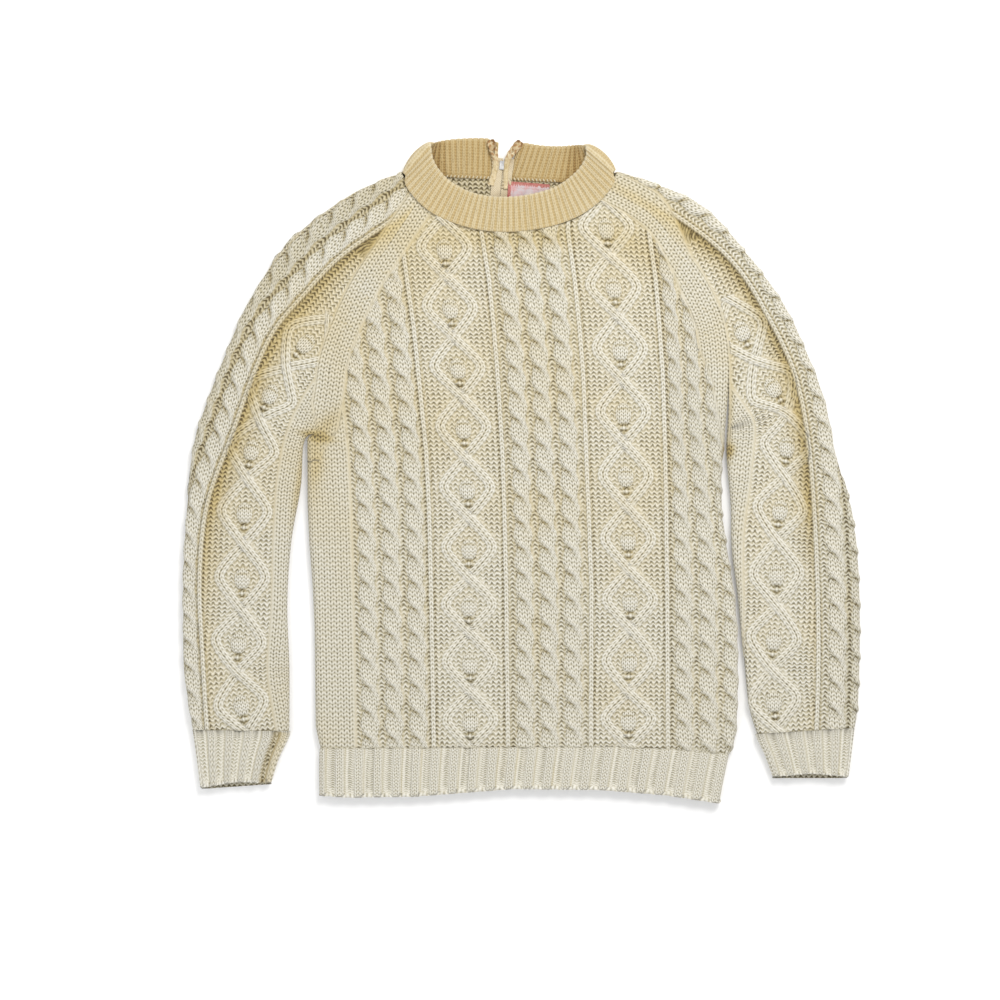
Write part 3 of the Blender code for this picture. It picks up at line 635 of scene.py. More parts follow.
def wool(name, bright, light, middle, deep, tint):
    """Spun wool, knitted: plain stitches are two slanting legs, purl ones are small arches.
    Its colour holds painted light and shade: a ramp from the deep shade between stitches
    to bright tops, by how high each point of a stitch stands and by the painted shade, with
    a golden tint that is partly random tone and partly painted shade.
    """
    finish = Finish(name, Roughness=0.95, Sheen_Weight=0.15, Sheen_Roughness=0.6)
    uneven = (finish.noise(190.0, 1.0) - 0.5) * 0.6
    loose = (finish.noise(150.0, 1.0) - 0.5) * 0.7
    across, along = finish.split(finish.attribute("purl", "Vector"))[:2]
    arch = uneven.math("COSINE", (across + uneven) * (2 * math.pi))
    row = arch.math("COSINE", (along + loose + arch * 0.26) * (2 * math.pi)) * 0.5 + 0.5
    painted_shade, drawn, pale = finish.split(finish.attribute("look", "Vector"))
    ground = 1.0 - (1.0 - row) * (arch * 0.24 + 0.76) * (1.0 - drawn * 0.75)
    across, along, margin = finish.split(finish.attribute("plain", "Vector"))
    side = abs((across + uneven * 0.4) % 1.0 - 0.5) * 2.0
    leg = side.math("SINE", side * math.pi) ** 0.7
    phase = (along + loose - side * 0.5) % 1.0
    between = abs(phase * 2.0 - 1.0) ** 1.3
    # Painted shade in the gaps between plain stitches.
    dots = between * (1.0 - leg * 0.64) * (1.0 - drawn * 0.7) * (side * 0.25 + 0.95)
    smooth = ((drawn - 0.96) * 3.0).limit()
    plain = 1.0 - (dots + (1.0 - leg) * (drawn * 0.26 + 0.14)) * (1.0 - smooth)
    standing = ((margin + uneven * 0.8) * 1.4 + 0.5).limit()
    height = ground + (plain - ground) * standing
    fuzz = finish.noise(1500.0, 3.0)
    twist = finish.noise(600.0, 2.0)
    # Brightness from stitch height, raised stitches and the painted shade: painted light and shade.
    lit = height * 0.78 + standing * 0.05 + fuzz * 0.22 + twist * 0.16 - 0.14 - painted_shade * 0.72
    colour = finish.ramp(lit, ((0.0, deep), (0.3, middle), (0.68, light), (1.0, bright)))
    warm = finish.ramp(finish.noise(11.0, 3.0), ((0.36, (0, 0, 0)), (0.68, (1, 1, 1))))
    # Golden tint: random warmth, less where pale and on raised stitches, more in painted shade.
    golden = (warm * 0.33 + 0.31 - pale * 0.48 - standing * 0.16 + painted_shade * 0.6).limit()
    tinted = finish.blend(1.0, colour, (*tint, 1.0), "MULTIPLY")
    colour = finish.blend(golden, colour, tinted)
    relief = height + twist * 0.3 + fuzz * 0.15 - painted_shade * 0.4
    return finish.done(Base_Color=colour, Bump=(relief, 1.15 * MM))


# From the painted highlight on stitch tops, through two mid tones, to the painted shade between stitches,
# then the golden tint.
CREAM = wool(
    "cream_wool", (0.9, 0.885, 0.82), (0.65, 0.615, 0.51), (0.42, 0.38, 0.255), (0.12, 0.095, 0.045),
    (0.94, 0.805, 0.5),
)


def add(name, mesh, material, replaced):
    """A finished piece of the sweater, in place of its plain solid."""
    made = bpy.data.objects.new(name, mesh)
    bpy.context.scene.collection.objects.link(made)
    mesh.materials.append(material)
    if "sharp_edge" not in mesh.attributes:
        mesh.shade_smooth()
    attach(made, "sweater")
    if replaced:
        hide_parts(replaced)
    return made


def mesh_of(bm, name):
    mesh = bpy.data.meshes.new(name)
    bm.to_mesh(mesh)
    bm.free()
    return mesh


def points(mesh):
    flat = np.empty(len(mesh.vertices) * 3)
    mesh.vertices.foreach_get("co", flat)
    return flat.reshape(-1, 3)


def store(mesh, name, values):
    """Keeps a value or a vector for each point, for the material to read."""
    kind, field = ("FLOAT_VECTOR", "vector") if values.ndim > 1 else ("FLOAT", "value")
    mesh.attributes.new(name, kind, "POINT").data.foreach_set(field, values.ravel())


def knitted(name, columns, rows, form, creased=()):
    """A closed knitted piece from a grid whose first and last columns are one, with its ends
    closed. form gives places and stitches for column numbers and shares of the rows. Its
    ends and its creased columns have sharp edges."""
    bm = bmesh.new()
    bmesh.ops.create_grid(bm, x_segments=columns, y_segments=rows, size=1.0)
    mesh = mesh_of(bm, name)
    flat = (points(mesh) + 1) / 2
    column = np.rint(flat[:, 0] * columns)
    place, knit, pale = form(column, np.rint(flat[:, 1] * rows) / rows)
    place[:, 2] = np.maximum(place[:, 2], 0.15)
    mesh.vertices.foreach_set("co", (place * MM).ravel())
    plain = knit.plain.copy()
    plain[:, 2] = knit.margin
    look = np.stack([knit.painted_shade, knit.drawn, pale], axis=1)
    for attribute, values in (("purl", knit.purl), ("plain", plain), ("look", look)):
        store(mesh, attribute, values)
    bm = bmesh.new()
    bm.from_mesh(mesh)
    for face in bm.faces:
        face.smooth = True
    sharp = np.isin(column, creased)
    for edge in bm.edges:
        first, second = edge.verts[0].index, edge.verts[1].index
        if edge.is_boundary or (sharp[first] and column[first] == column[second]):
            edge.smooth = False
    ends = [v for v, c in zip(bm.verts, column) if c in (0, columns)]
    bmesh.ops.remove_doubles(bm, verts=ends, dist=0.00001)
    if not len(creased):
        for edge in bm.edges:
            edge.smooth = not edge.is_boundary
    open_edges = [edge for edge in bm.edges if edge.is_boundary]
    caps = bmesh.ops.holes_fill(bm, edges=open_edges, sides=0)["faces"]
    bmesh.ops.triangulate(bm, faces=caps)
    bmesh.ops.recalc_face_normals(bm, faces=bm.faces)
    bm.to_mesh(mesh)
    bm.free()
    return mesh


PAINTED_FOLD_SHADOWS = (
    # x, y, half length, half width, turn, gold, shadow: painted shade, golden and darker, in the folds
    # round the armpits and below the neck
    (-214.0, 36.0, 15.0, 4.5, -14.0, 1.6, 0.42),
    (-204.0, 46.0, 26.0, 9.0, 50.0, 0.8, 0.12),
    (-215.0, 5.0, 30.0, 8.0, 84.0, 0.9, 0.1),
    (-232.0, -15.0, 40.0, 5.0, 80.0, 0.8, 0.14),
    (218.0, 20.0, 8.0, 6.0, 60.0, 1.8, 0.5),
    (220.0, 60.0, 60.0, 4.0, 88.0, 0.8, 0.12),
    (-10.0, 245.0, 110.0, 13.0, 0.0, 0.7, 0.05),
    (125.0, 232.0, 40.0, 14.0, -40.0, 0.6, 0.04),
)


def painted_fold_shadows(x, y):
    """How golden and how dark the painted shade makes the wool there."""
    gold, shadow = np.zeros((2, len(x)))
    for near, (golden, dark) in spots(PAINTED_FOLD_SHADOWS, x, y):
        gold += golden * near
        shadow += dark * near
    return gold, shadow


def shell(name, outer, inner, rows, form, wall, ground):
    """A closed knitted wall: its columns cross the outer face and come back along the inner
    one. form gives places, normals and stitches for shares across and along."""
    last = outer + inner + 2  # a column for each wall between the faces

    def around(column, row):
        outside = (column <= outer) | (column == last)
        share = np.where(outside, column / outer, 1 - (column - outer - 1) / inner)
        share = np.where(column == last, 0.0, share)
        place, facing, knit = form(np.clip(share, 0, 1), row)
        knit.clear(~outside, place[:, 0], -place[:, 1])
        level = np.where(facing[:, 2] < 0, ground[1], ground[0]) + knit.rise
        offset = np.where(outside, level, -wall)
        # Painted shade from the folds and below the neck goes on the outer face; the inner face gets an
        # even painted shade.
        gold, shadow = painted_fold_shadows(place[:, 0], place[:, 1])
        knit.painted_shade = np.where(outside, knit.painted_shade + shadow, 0.25)
        # The wool takes less golden tint towards the hem and towards +X, and more where golden shade is
        # painted.
        pale = 0.82 - 0.6 * ease(place[:, 1] / 600 + 0.5) + 0.3 * ease((place[:, 0] + 60) / 360)
        pale = pale - knit.gold - gold
        return place + facing * offset[:, None], knit, pale

    return knitted(name, last, rows, around, (0, outer, outer + 1, last - 1, last))


def cream_piece(name, outer, inner, rows, form, wall=WALL, ground=(GROUND, UNDER_GROUND)):
    mesh = shell(name + "_knit", outer, inner, rows, form, wall, ground)
    return add(name + "_knit", mesh, CREAM, name)


EDGE_COLUMNS = 7  # of a panel's columns, which go round each side
front = cream_piece("front_panel", 262, 12, 336, body_form(False, EDGE_COLUMNS / 262))

# ---- Back panel
# The back lies under the front, face down. It has the same cables and diamonds. A slot down from
# its neck edge holds the zip, and its purl side shows through the neck.

ZIP_TOP, ZIP_SLANT = (-18.0, 322.5), 6.0
SLOT_WIDTH, SLOT_LENGTH = 10.0, 96.0


def cut_slot(mesh):
    """Opens the cloth on both sides of the zip, and closes the walls that this leaves."""
    bm = bmesh.new()
    bm.from_mesh(mesh)
    turn = Matrix.Rotation(math.radians(-ZIP_SLANT), 3, "Z")
    top = Vector((*ZIP_TOP, 0.0)) * MM

    def beside(face, margin):
        spot = turn.inverted() @ (face.calc_center_median() - top) / MM
        return abs(spot.x) < SLOT_WIDTH / 2 + margin and spot.y > -SLOT_LENGTH - margin

    sides = (
        # a point on each side of the slot, and the way out of it
        (Vector((-SLOT_WIDTH / 2, 0, 0)), Vector((-1, 0, 0))),
        (Vector((SLOT_WIDTH / 2, 0, 0)), Vector((1, 0, 0))),
        (Vector((0, -SLOT_LENGTH, 0)), Vector((0, -1, 0))),
    )
    for point, out in sides:
        near = [face for face in bm.faces if beside(face, 7.0)]
        parts = {part for f in near for part in (f, *f.verts, *f.edges)}
        bmesh.ops.bisect_plane(bm, geom=list(parts), plane_co=top + turn @ point * MM, plane_no=turn @ out)
    bmesh.ops.delete(bm, geom=[face for face in bm.faces if beside(face, 0.0)], context="FACES")
    rims = [edge for edge in bm.edges if edge.is_boundary]
    upper = [edge for edge in rims if all(v.co.z > (WALL - 0.3) * MM for v in edge.verts)]
    lower = [edge for edge in rims if all(v.co.z <= (WALL - 0.3) * MM for v in edge.verts)]
    bmesh.ops.bridge_loops(bm, edges=upper + lower)
    left_open = [edge for edge in bm.edges if edge.is_boundary]
    bmesh.ops.holes_fill(bm, edges=left_open, sides=0)
    bmesh.ops.recalc_face_normals(bm, faces=bm.faces)
    bm.to_mesh(mesh)
    bm.free()


back = cream_piece("back_panel", 150, 96, 210, body_form(True, EDGE_COLUMNS / 150))
cut_slot(back.data)

# ---- Sleeves
# Each sleeve is one knitted piece, folded flat along its outer edge and sewn up its inner one.
# A diamond panel and a ladder run down its upper face, with four cables over the outer fold.

SLEEVES = {
    -1: {
        "table": LEFT_SLEEVE,
        "armpit": LEFT_ARMPIT,
        "diamonds": ((-200, 160), (-246, 108), (-274, 54), (-287, -8), (-291, -77), (-293, -146),
                     (-297, -212), (-288, -276)),
        "ladder": ((-148, 254), (-192, 222), (-226, 186), (-258, 148), (-280, 102), (-302, 40),
                   (-329, -36), (-337, -114), (-334, -193), (-329, -276)),
        "cables": (12.6, 36.5),
        "fold": 36.5,
        "crossing": 8.0,
        "inner": 31.5,
    },
    1: {
        "table": RIGHT_SLEEVE,
        "armpit": RIGHT_ARMPIT,
        "diamonds": ((218, 181), (246, 116), (279, 60), (277, -6), (269, -73), (269, -142),
                     (264, -209), (269, -272)),
        "ladder": ((136, 284), (161, 269), (192, 247), (217, 225), (238, 199), (258, 165), (279, 124),
                   (292, 87), (302, 32), (308, -37), (312, -118), (313, -199), (311, -272)),
        "cables": (20.0, 44.5),
        "fold": 44.5,
        "crossing": 3.0,
        "inner": 35.0,
    },
}
SLEEVE_BANDS = {  # y, and the width of the plain band beside the raglan seam
    -1: ((300, 13), (70, 13), (36, 1)),
    1: ((290, 22), (262, 15), (225, 5), (150, 2), (40, 2)),
}
LADDER_RIDGE, LADDER_TROUGH = 1.5, 2.8  # the fold that runs beside the outer ladder
SLEEVE_TOP = 0.62  # of a sleeve's columns, in its upper layer


def sleeve_stitches(hand, x, y, shift, mirror):
    """The sleeve's pattern. Under the fold it runs back, mirrored there."""
    facts = SLEEVES[hand]
    dia_along, dia_aside = Guide(facts["diamonds"]).measure(x + shift, y)
    lad_along, lad_aside = Guide(facts["ladder"]).measure(x + shift, y)
    outwards = np.where(mirror, 2 * facts["fold"] - hand * lad_aside, hand * lad_aside)
    knit = Knit(dia_aside, dia_along)
    crossings = Guide(facts["diamonds"]).measure(*np.array(facts["diamonds"], float).T)[0]
    crossings = np.concatenate([[crossings[0] - 64], crossings, [crossings[-1] + 62]])
    diamonds(knit, dia_aside, dia_along, crossings)
    knit.clear(dia_along < crossings[1] - 3, dia_aside, dia_along)
    inner = -hand * dia_aside - facts["inner"]
    knit.stocking(inner, dia_along, np.where(mirror, -9.0, inner))
    between = outwards - facts["cables"][0]
    knit.clear(outwards > 0, between / 6.35 * WALE, lad_along)
    for centre in facts["cables"]:
        for place in (centre, 2 * facts["fold"] - centre):
            cable(knit, hand * (outwards - place), lad_along, facts["crossing"])
    for place in (0.0, 2 * facts["fold"]):
        ladder(knit, outwards - place, lad_along, 2.1)
    trough = LADDER_TROUGH * bell(outwards + 12.0, 8.0) - LADDER_RIDGE * bell(outwards, 5.0)
    fade = ease((y + 160) / 160) * (1 - 0.8 * ease((y - 235) / 60)) * ~mirror
    knit.rise = knit.rise - trough * fade
    # Golden painted shade in the fold's valley beside the ladder, fading out under the fold; the wool past
    # the ladder is paler.
    valley = bell(outwards + 5.5, 4.6)
    knit.painted_shade = knit.painted_shade + (0.26 * valley + 0.08 * bell(outwards + 13, 9.0)) * fade
    knit.gold = knit.gold + (1.05 * valley + 0.6 * bell(outwards + 13, 9.0)) * (0.4 + 0.6 * fade) * ~mirror
    knit.gold = knit.gold - 0.25 * ease(outwards / 12)
    # Painted shade in the groove between the cables and beside the ladder.
    middle = (facts["cables"][0] + facts["cables"][1]) / 2
    groove = bell(outwards - middle, 2.4) * (knit.margin < 0) + 0.6 * bell(outwards - 2.9, 1.6)
    knit.painted_shade = knit.painted_shade + 0.24 * groove * ~mirror
    along, aside = RAGLANS[hand].measure(x, y)
    seam = hand * aside
    upper = ease((y - armpit_y(hand) - 6) / 20)
    knit.stocking(seam, along, np.where(upper > 0, lookup(SLEEVE_BANDS[hand], y) - seam, -9.0))
    knit.sink(0.3 * bell(seam, 1.6) * upper, 0.12 * bell(seam, 1.3) * upper)
    # Painted shade where the sleeve rounds over its outer fold.
    past_fold = bell((outwards - facts["fold"]) / 13.0, 1.0)
    knit.painted_shade = knit.painted_shade + (0.2 if hand < 0 else 0.1) * past_fold * ~mirror
    return knit


def tube(hand, edges, turned, share, top_share, edge_share):
    """Points round a tube laid flat, over its upper layer from the inner edge to the outer fold
    and back along the under one. edges are the upper inner, under inner and outer edges."""
    upper = share <= top_share
    across = np.clip(np.where(upper, share / top_share, (1 - share) / (1 - top_share)), 0, 1)
    ones = np.ones(len(share))
    results = []
    for start, on_top in ((edges[0], True), (edges[1], False)):
        side = (start, edges[2], (turned, ones), across)
        if hand < 0:
            side = (edges[2], start, (ones, turned), 1 - across)
        results.append(section(*side, edge_share, on_top))
    layers = [np.where(upper[:, None] if a.ndim > 1 else upper, a, b) for a, b in zip(*results)]
    return *layers, upper, across


def sleeve_form(hand, top_share, edge_share):
    table, armpit = SLEEVES[hand]["table"], SLEEVES[hand]["armpit"]
    last = len(table) - 1

    def form(share, down):
        at = down * last
        tucked = at - 0.1 * ease(1 - at)  # under the collar
        outer = spline(table, tucked)[:, 2:]
        inner = spline(table, at)[:, :2]
        under = inner.copy()
        raised = at < armpit
        seam = np.clip(at / armpit, 0, 1)
        under[raised] = back_raglan(hand, seam)[0][raised]
        rounded = np.where(raised, raglan(hand, seam)[1], 1.0)
        inner[:, 0] += hand * SEAM
        under[:, 0] += hand * SEAM
        edges = (inner, under, outer)
        place, facing, longer, upper = tube(hand, edges, rounded, share, top_share, edge_share)[:4]
        knit = sleeve_stitches(hand, place[:, 0], place[:, 1], longer, ~upper)
        ending = bell(at - last, 0.06)
        knit.sink(0.5 * ending, 0.16 * ending)
        return place, facing, knit

    return form


for name, hand in (("sleeve_left", -1), ("sleeve_right", 1)):
    form = sleeve_form(hand, SLEEVE_TOP, 6 / (160 * SLEEVE_TOP))
    made = cream_piece(name, 160, 22, 400, form)

# ---- Hem ribs
# The hem is a band of two plain, two purl rib, knitted first and cast on at its lower edge. Front
# and back bands are sewn together at the sides.

RIB = 19.8
RIB_COURSE = 3.4
CAST_ON = 9.0  # a loop of the cast-on edge
HEM_WIDTH = 424.0
RIB_PLAIN = 0.48  # of each repeat
HEM_LEFT = ((0.0, -211.6), (0.5, -212.0), (1.0, -211.6))  # share of the height, and x
HEM_RIGHT = ((0.0, 221.0), (0.5, 215.5), (1.0, 210.5))
RIB_WALL, RIB_GROUND = 4.6, (GROUND + 0.4, UNDER_GROUND + 0.6)


def rib_stitches(across, along, length):
    """Two by two rib, with the loops of the cast-on edge under each purl pair."""
    knit = Knit(across, along * 1.9)
    count = across / RIB
    share = count - np.floor(count)
    gap = (share - RIB_PLAIN / 2) / (RIB_PLAIN / 2)
    half = RIB * RIB_PLAIN / 2
    rise = 1.9 * np.clip(1 - np.abs(gap) ** 5, 0, 1) * (1 - 0.3 * bell(gap, 0.3))
    knit.drawn += 0.35
    edge = ease(np.abs(gap) * 3 - 1.2)
    knit.work(rise, (gap + 1) * 1.25 + 0.25, along / RIB_COURSE, (1 - np.abs(gap)) * half, 0.2 + 0.7 * edge)
    # Painted highlight on the edges of each plain rib; painted shade in the grooves beside it, down its
    # middle and a little over the purl. The rib is also paler and less golden in tone.
    knit.painted_shade = knit.painted_shade - 0.18 * edge * (np.abs(gap) < 1)
    knit.painted_shade = np.maximum(knit.painted_shade, 0.42 * bell((np.abs(gap) - 1) * half - 0.8, 0.9))
    knit.painted_shade = np.maximum(knit.painted_shade, 0.16 * bell(gap, 0.35) * (np.abs(gap) < 1))
    knit.painted_shade = knit.painted_shade + 0.05 * (np.abs(gap) > 1) - 0.08
    knit.gold = knit.gold - 0.3
    rim = length - along - 2.4 * bell((share - RIB_PLAIN - 0.23) / 0.23, 1.0)
    knit.work(1.9 * bell(rim, 1.9), across / CAST_ON, along / CAST_ON, 2.2 - np.abs(rim), 0.8)
    knit.sink(0.4 * bell(along, 2.2), 0.16 * bell(along, 1.5))
    return knit


def hem_form(back, edge_share):
    def form(share, down):
        left = np.stack([lookup(HEM_LEFT, down), np.full(len(down), HEM[0][1])], axis=1)
        right = np.stack([lookup(HEM_RIGHT, down), np.full(len(down), HEM[-1][1])], axis=1)
        ones = np.ones(len(down))
        place, facing, longer = section(left, right, (ones, ones), share, edge_share, not back)
        across = np.hypot(*(place[:, :2] - left).T) / np.hypot(*(right - left).T)
        top = lookup(HEM, across) - SEAM / 2
        length = top - lookup(HEM, across, 2)
        place[:, 1] = top - length * down
        knit = rib_stitches(across * HEM_WIDTH + longer + 3, length * down, length)
        return place, facing, knit

    return form


for name, back_one, columns, rows in (("hem_rib_front", False, 420, 44), ("hem_rib_back", True, 210, 24)):
    form = hem_form(back_one, EDGE_COLUMNS / columns)
    made = cream_piece(name, columns, 40, rows, form, RIB_WALL, RIB_GROUND)

# ---- Cuffs
# A cuff is the same rib, knitted down from the sleeve and closed at its inner edge. The one at -X
# has a deep fold beside that edge, and its under layer shows past the upper one.

CUFFS = {
    -1: ((-242.0, -273.6, -344.9, -272.6), (-243.6, -281.0, -343.4, -280.0),
         (-254.0, -303.0, -340.0, -305.0), (-262.0, -328.1, -336.5, -333.4)),
    1: ((246.8, -276.8, 351.2, -270.5), (249.6, -284.0, 350.2, -278.0),
        (258.0, -302.0, 347.6, -300.0), (265.1, -321.8, 344.9, -321.8)),
}
CUFF_WIDTH, CUFF_ROUND, CUFF_LENGTH = 104.0, 214.0, 52.0  # laid flat, and all round
CUFF_TOP = 0.6  # of a cuff's columns, in its upper layer
CUFF_FOLD = {-1: 15.0, 1: 13.0}  # how far the fold lies from the inner edge
CUFF_FOLD_DEPTH = {-1: 4.4, 1: 1.2}


def cuff_form(hand, top_share, edge_share):
    table = CUFFS[hand]

    def form(share, down):
        edges = spline(table, down * (len(table) - 1))
        inner, outer = edges[:, :2], edges[:, 2:]
        ones = np.ones(len(down))
        layers = tube(hand, (inner, inner, outer), ones, share, top_share, edge_share)
        place, facing, longer, upper, across = layers
        width = np.hypot(*(outer - inner).T)
        away = np.hypot(*(place[:, :2] - inner).T)
        length = np.full(len(down), CUFF_LENGTH)
        reach = away * CUFF_WIDTH / width
        reach = np.where(upper, reach, CUFF_ROUND - reach)
        knit = rib_stitches(reach - hand * longer, length * down, length)
        fold = away - CUFF_FOLD[hand] * (1 - 0.35 * down)
        deep = CUFF_FOLD_DEPTH[hand] * bell(fold, 3.0) * ease(down * 6) * upper
        # Painted shade, golden, in the deep fold at -X.
        dark = ease(down * 6) * upper * (CUFF_FOLD_DEPTH[hand] > 2)
        knit.sink(deep, 1.1 * bell(fold, 2.0) * dark)
        knit.gold = knit.gold + 1.4 * bell(fold + 5, 8.0) * dark
        lift = 3.2 * ease(down * 3 - 2) * bell((across - 0.5) / 0.35, 1.0)
        place[:, 1] += np.where(upper, lift, -2.0 * ease(down * 2 - 1))
        return place, facing, knit

    return form


for name, hand in (("cuff_left", -1), ("cuff_right", 1)):
    form = cuff_form(hand, CUFF_TOP, 6 / (300 * CUFF_TOP))
    made = cream_piece(name, 300, 40, 42, form, RIB_WALL, RIB_GROUND)

# ---- Collar
# The collar is one by one rib in a finer, golden wool, knitted twice its height and folded down
# inside. It starts and ends at the zip, where its ends roll open.

# From the painted highlight on stitch tops, through two mid tones, to the painted shade between stitches,
# then the golden tint.
GOLD = wool(
    "golden_wool", (0.72, 0.66, 0.5), (0.56, 0.465, 0.28), (0.41, 0.305, 0.145), (0.22, 0.14, 0.05),
    (0.97, 0.85, 0.58),
)

COLLAR_THICK, COLLAR_GAP, COLLAR_LIFT = 7.0, -0.8, 8.3
COLLAR_FOLD_STEPS = 5
COLLAR_STEPS = 1200
COLLAR_CORNERS = (0.155, 0.845)  # how far round the shoulder folds lie
COLLAR_RIB = 5.9
COLLAR_COURSE = 3.1
COLLAR_FRONT = (
    # seam and top, from the left shoulder to the right one
    (-122.1, 303.6, -92.9, 332.9), (-117.3, 294.7, -90.3, 323.4), (-109.2, 285.1, -85.1, 316.1),
    (-99.5, 275.4, -78.8, 308.2), (-86.7, 267.3, -68.8, 300.8), (-67.4, 259.4, -54.6, 293.5),
    (-48.1, 253.9, -40.4, 289.3), (-25.5, 251.0, -22.6, 287.5), (-2.9, 251.3, -4.7, 287.9),
    (18.0, 253.9, 13.1, 290.9), (38.9, 258.6, 30.5, 295.6), (58.2, 265.8, 43.1, 301.4),
    (75.0, 275.8, 54.1, 310.3), (88.0, 288.2, 61.4, 317.1), (94.5, 297.0, 66.7, 326.0),
    (100.1, 306.0, 69.1, 333.4),
)
COLLAR_FOLDS = (
    # seam edge of each shoulder fold, its top edge at the back and in front, and the way it faces
    ((-120.0, 309.5), (-90.0, 345.6), (-93.2, 340.0), -1.0),
    ((96.3, 311.9), (64.2, 343.0), (67.8, 337.0), 1.0),
)
COLLAR_BACKS = (
    # seam x, top x, top y, thickness: from each shoulder fold to the zip
    ((-84.0, -86.0, 347.0, 7.0), (-72.0, -73.0, 349.4, 7.0), (-55.0, -54.0, 350.3, 7.0),
     (-40.0, -38.5, 350.8, 7.0), (-33.0, -31.0, 349.5, 4.8), (-26.0, -23.0, 345.5, 4.8)),
    ((62.0, 60.5, 343.6, 7.0), (40.0, 49.0, 342.0, 7.0), (18.0, 29.5, 341.8, 7.0),
     (4.0, 15.5, 343.5, 7.0), (-7.0, 7.5, 345.3, 6.0), (-12.6, -2.0, 346.0, 4.8)),
)
COLLAR_SECTION = (
    # across the band from its seam edge, and through it from its middle
    (0.0, 0.0), (0.0, 0.42), (0.05, 0.5), (0.3, 0.5), (0.6, 0.5), (0.86, 0.48), (0.965, 0.34),
    (1.0, 0.0), (0.965, -0.34), (0.86, -0.48), (0.6, -0.5), (0.3, -0.5), (0.05, -0.5), (0.0, -0.42),
    (0.0, 0.0),
)


def back_neck_y(x):
    """The back panel's neck edge, a line between its two corners."""
    (left_x, left_y), (right_x, right_y) = BACK_NECK[-1], BACK_NECK[1]
    return left_y + (right_y - left_y) * (x - left_x) / (right_x - left_x)


def collar_stations():
    """Rows of seam place, top place, facing and thickness, from the left of the zip round to
    its right."""
    backs = []
    for table in COLLAR_BACKS:
        rows = []
        for seam_x, top_x, top_y, thick in table:
            seam = (seam_x, back_neck_y(seam_x) + COLLAR_GAP, thick / 2)
            rows.append((*seam, top_x, top_y, thick / 2, 0.0, 0.0, -1.0, thick))
        backs.append(rows)
    folds = []
    for seam, back_top, front_top, hand in COLLAR_FOLDS:
        band = Vector(front_top) - Vector(seam)
        out = Vector((-band.y, band.x, 0.0)).normalized() * -hand
        rows = []
        for step in range(COLLAR_FOLD_STEPS + 2):
            turn = math.pi * step / (COLLAR_FOLD_STEPS + 1)
            facing = out * math.sin(turn) - Vector((0.0, 0.0, math.cos(turn)))
            shift = facing * COLLAR_LIFT / 2 + Vector((0.0, 0.0, (COLLAR_THICK + COLLAR_LIFT) / 2))
            at_top = Vector((shift.x * 0.8, shift.y * 0.8, shift.z))
            top = Vector((*Vector(back_top).lerp(Vector(front_top), turn / math.pi), 0.0))
            at_seam = Vector((seam[0] + shift.x * 0.7, seam[1] + shift.y * 0.7, shift.z))
            rows.append((*at_seam, *(top + at_top), *facing, COLLAR_THICK))
        folds.append(rows)
    level = COLLAR_THICK / 2 + COLLAR_LIFT
    front_rows = []
    for row in COLLAR_FRONT:
        seam, top = np.array(row[:2]), np.array(row[2:])
        seam = seam + (top - seam) / np.hypot(*(top - seam)) * COLLAR_GAP
        front_rows.append((*seam, level, *top, level, 0.0, 0.0, 1.0, COLLAR_THICK))
    return np.array(backs[0][::-1] + folds[0] + front_rows + folds[1][::-1] + backs[1])


def collar_path():
    """The stations in fine steps, eased where they turn, and how far round each one lies."""
    stations = collar_stations()
    fine = spline(stations, np.linspace(0, len(stations) - 1, COLLAR_STEPS))
    reach, width = 48, 22.0
    blur = np.exp(-(np.arange(-reach, reach + 1) / width) ** 2)
    padded = np.pad(fine, ((reach, reach), (0, 0)), mode="reflect", reflect_type="odd")
    smooth = [np.convolve(column, blur / blur.sum(), "valid") for column in padded.T]
    fine = np.stack(smooth, axis=1)
    middle = fine[:, :3] * 0.45 + fine[:, 3:6] * 0.55
    steps = np.linalg.norm(np.diff(middle, axis=0), axis=1)
    return fine, np.concatenate([[0.0], np.cumsum(steps)])


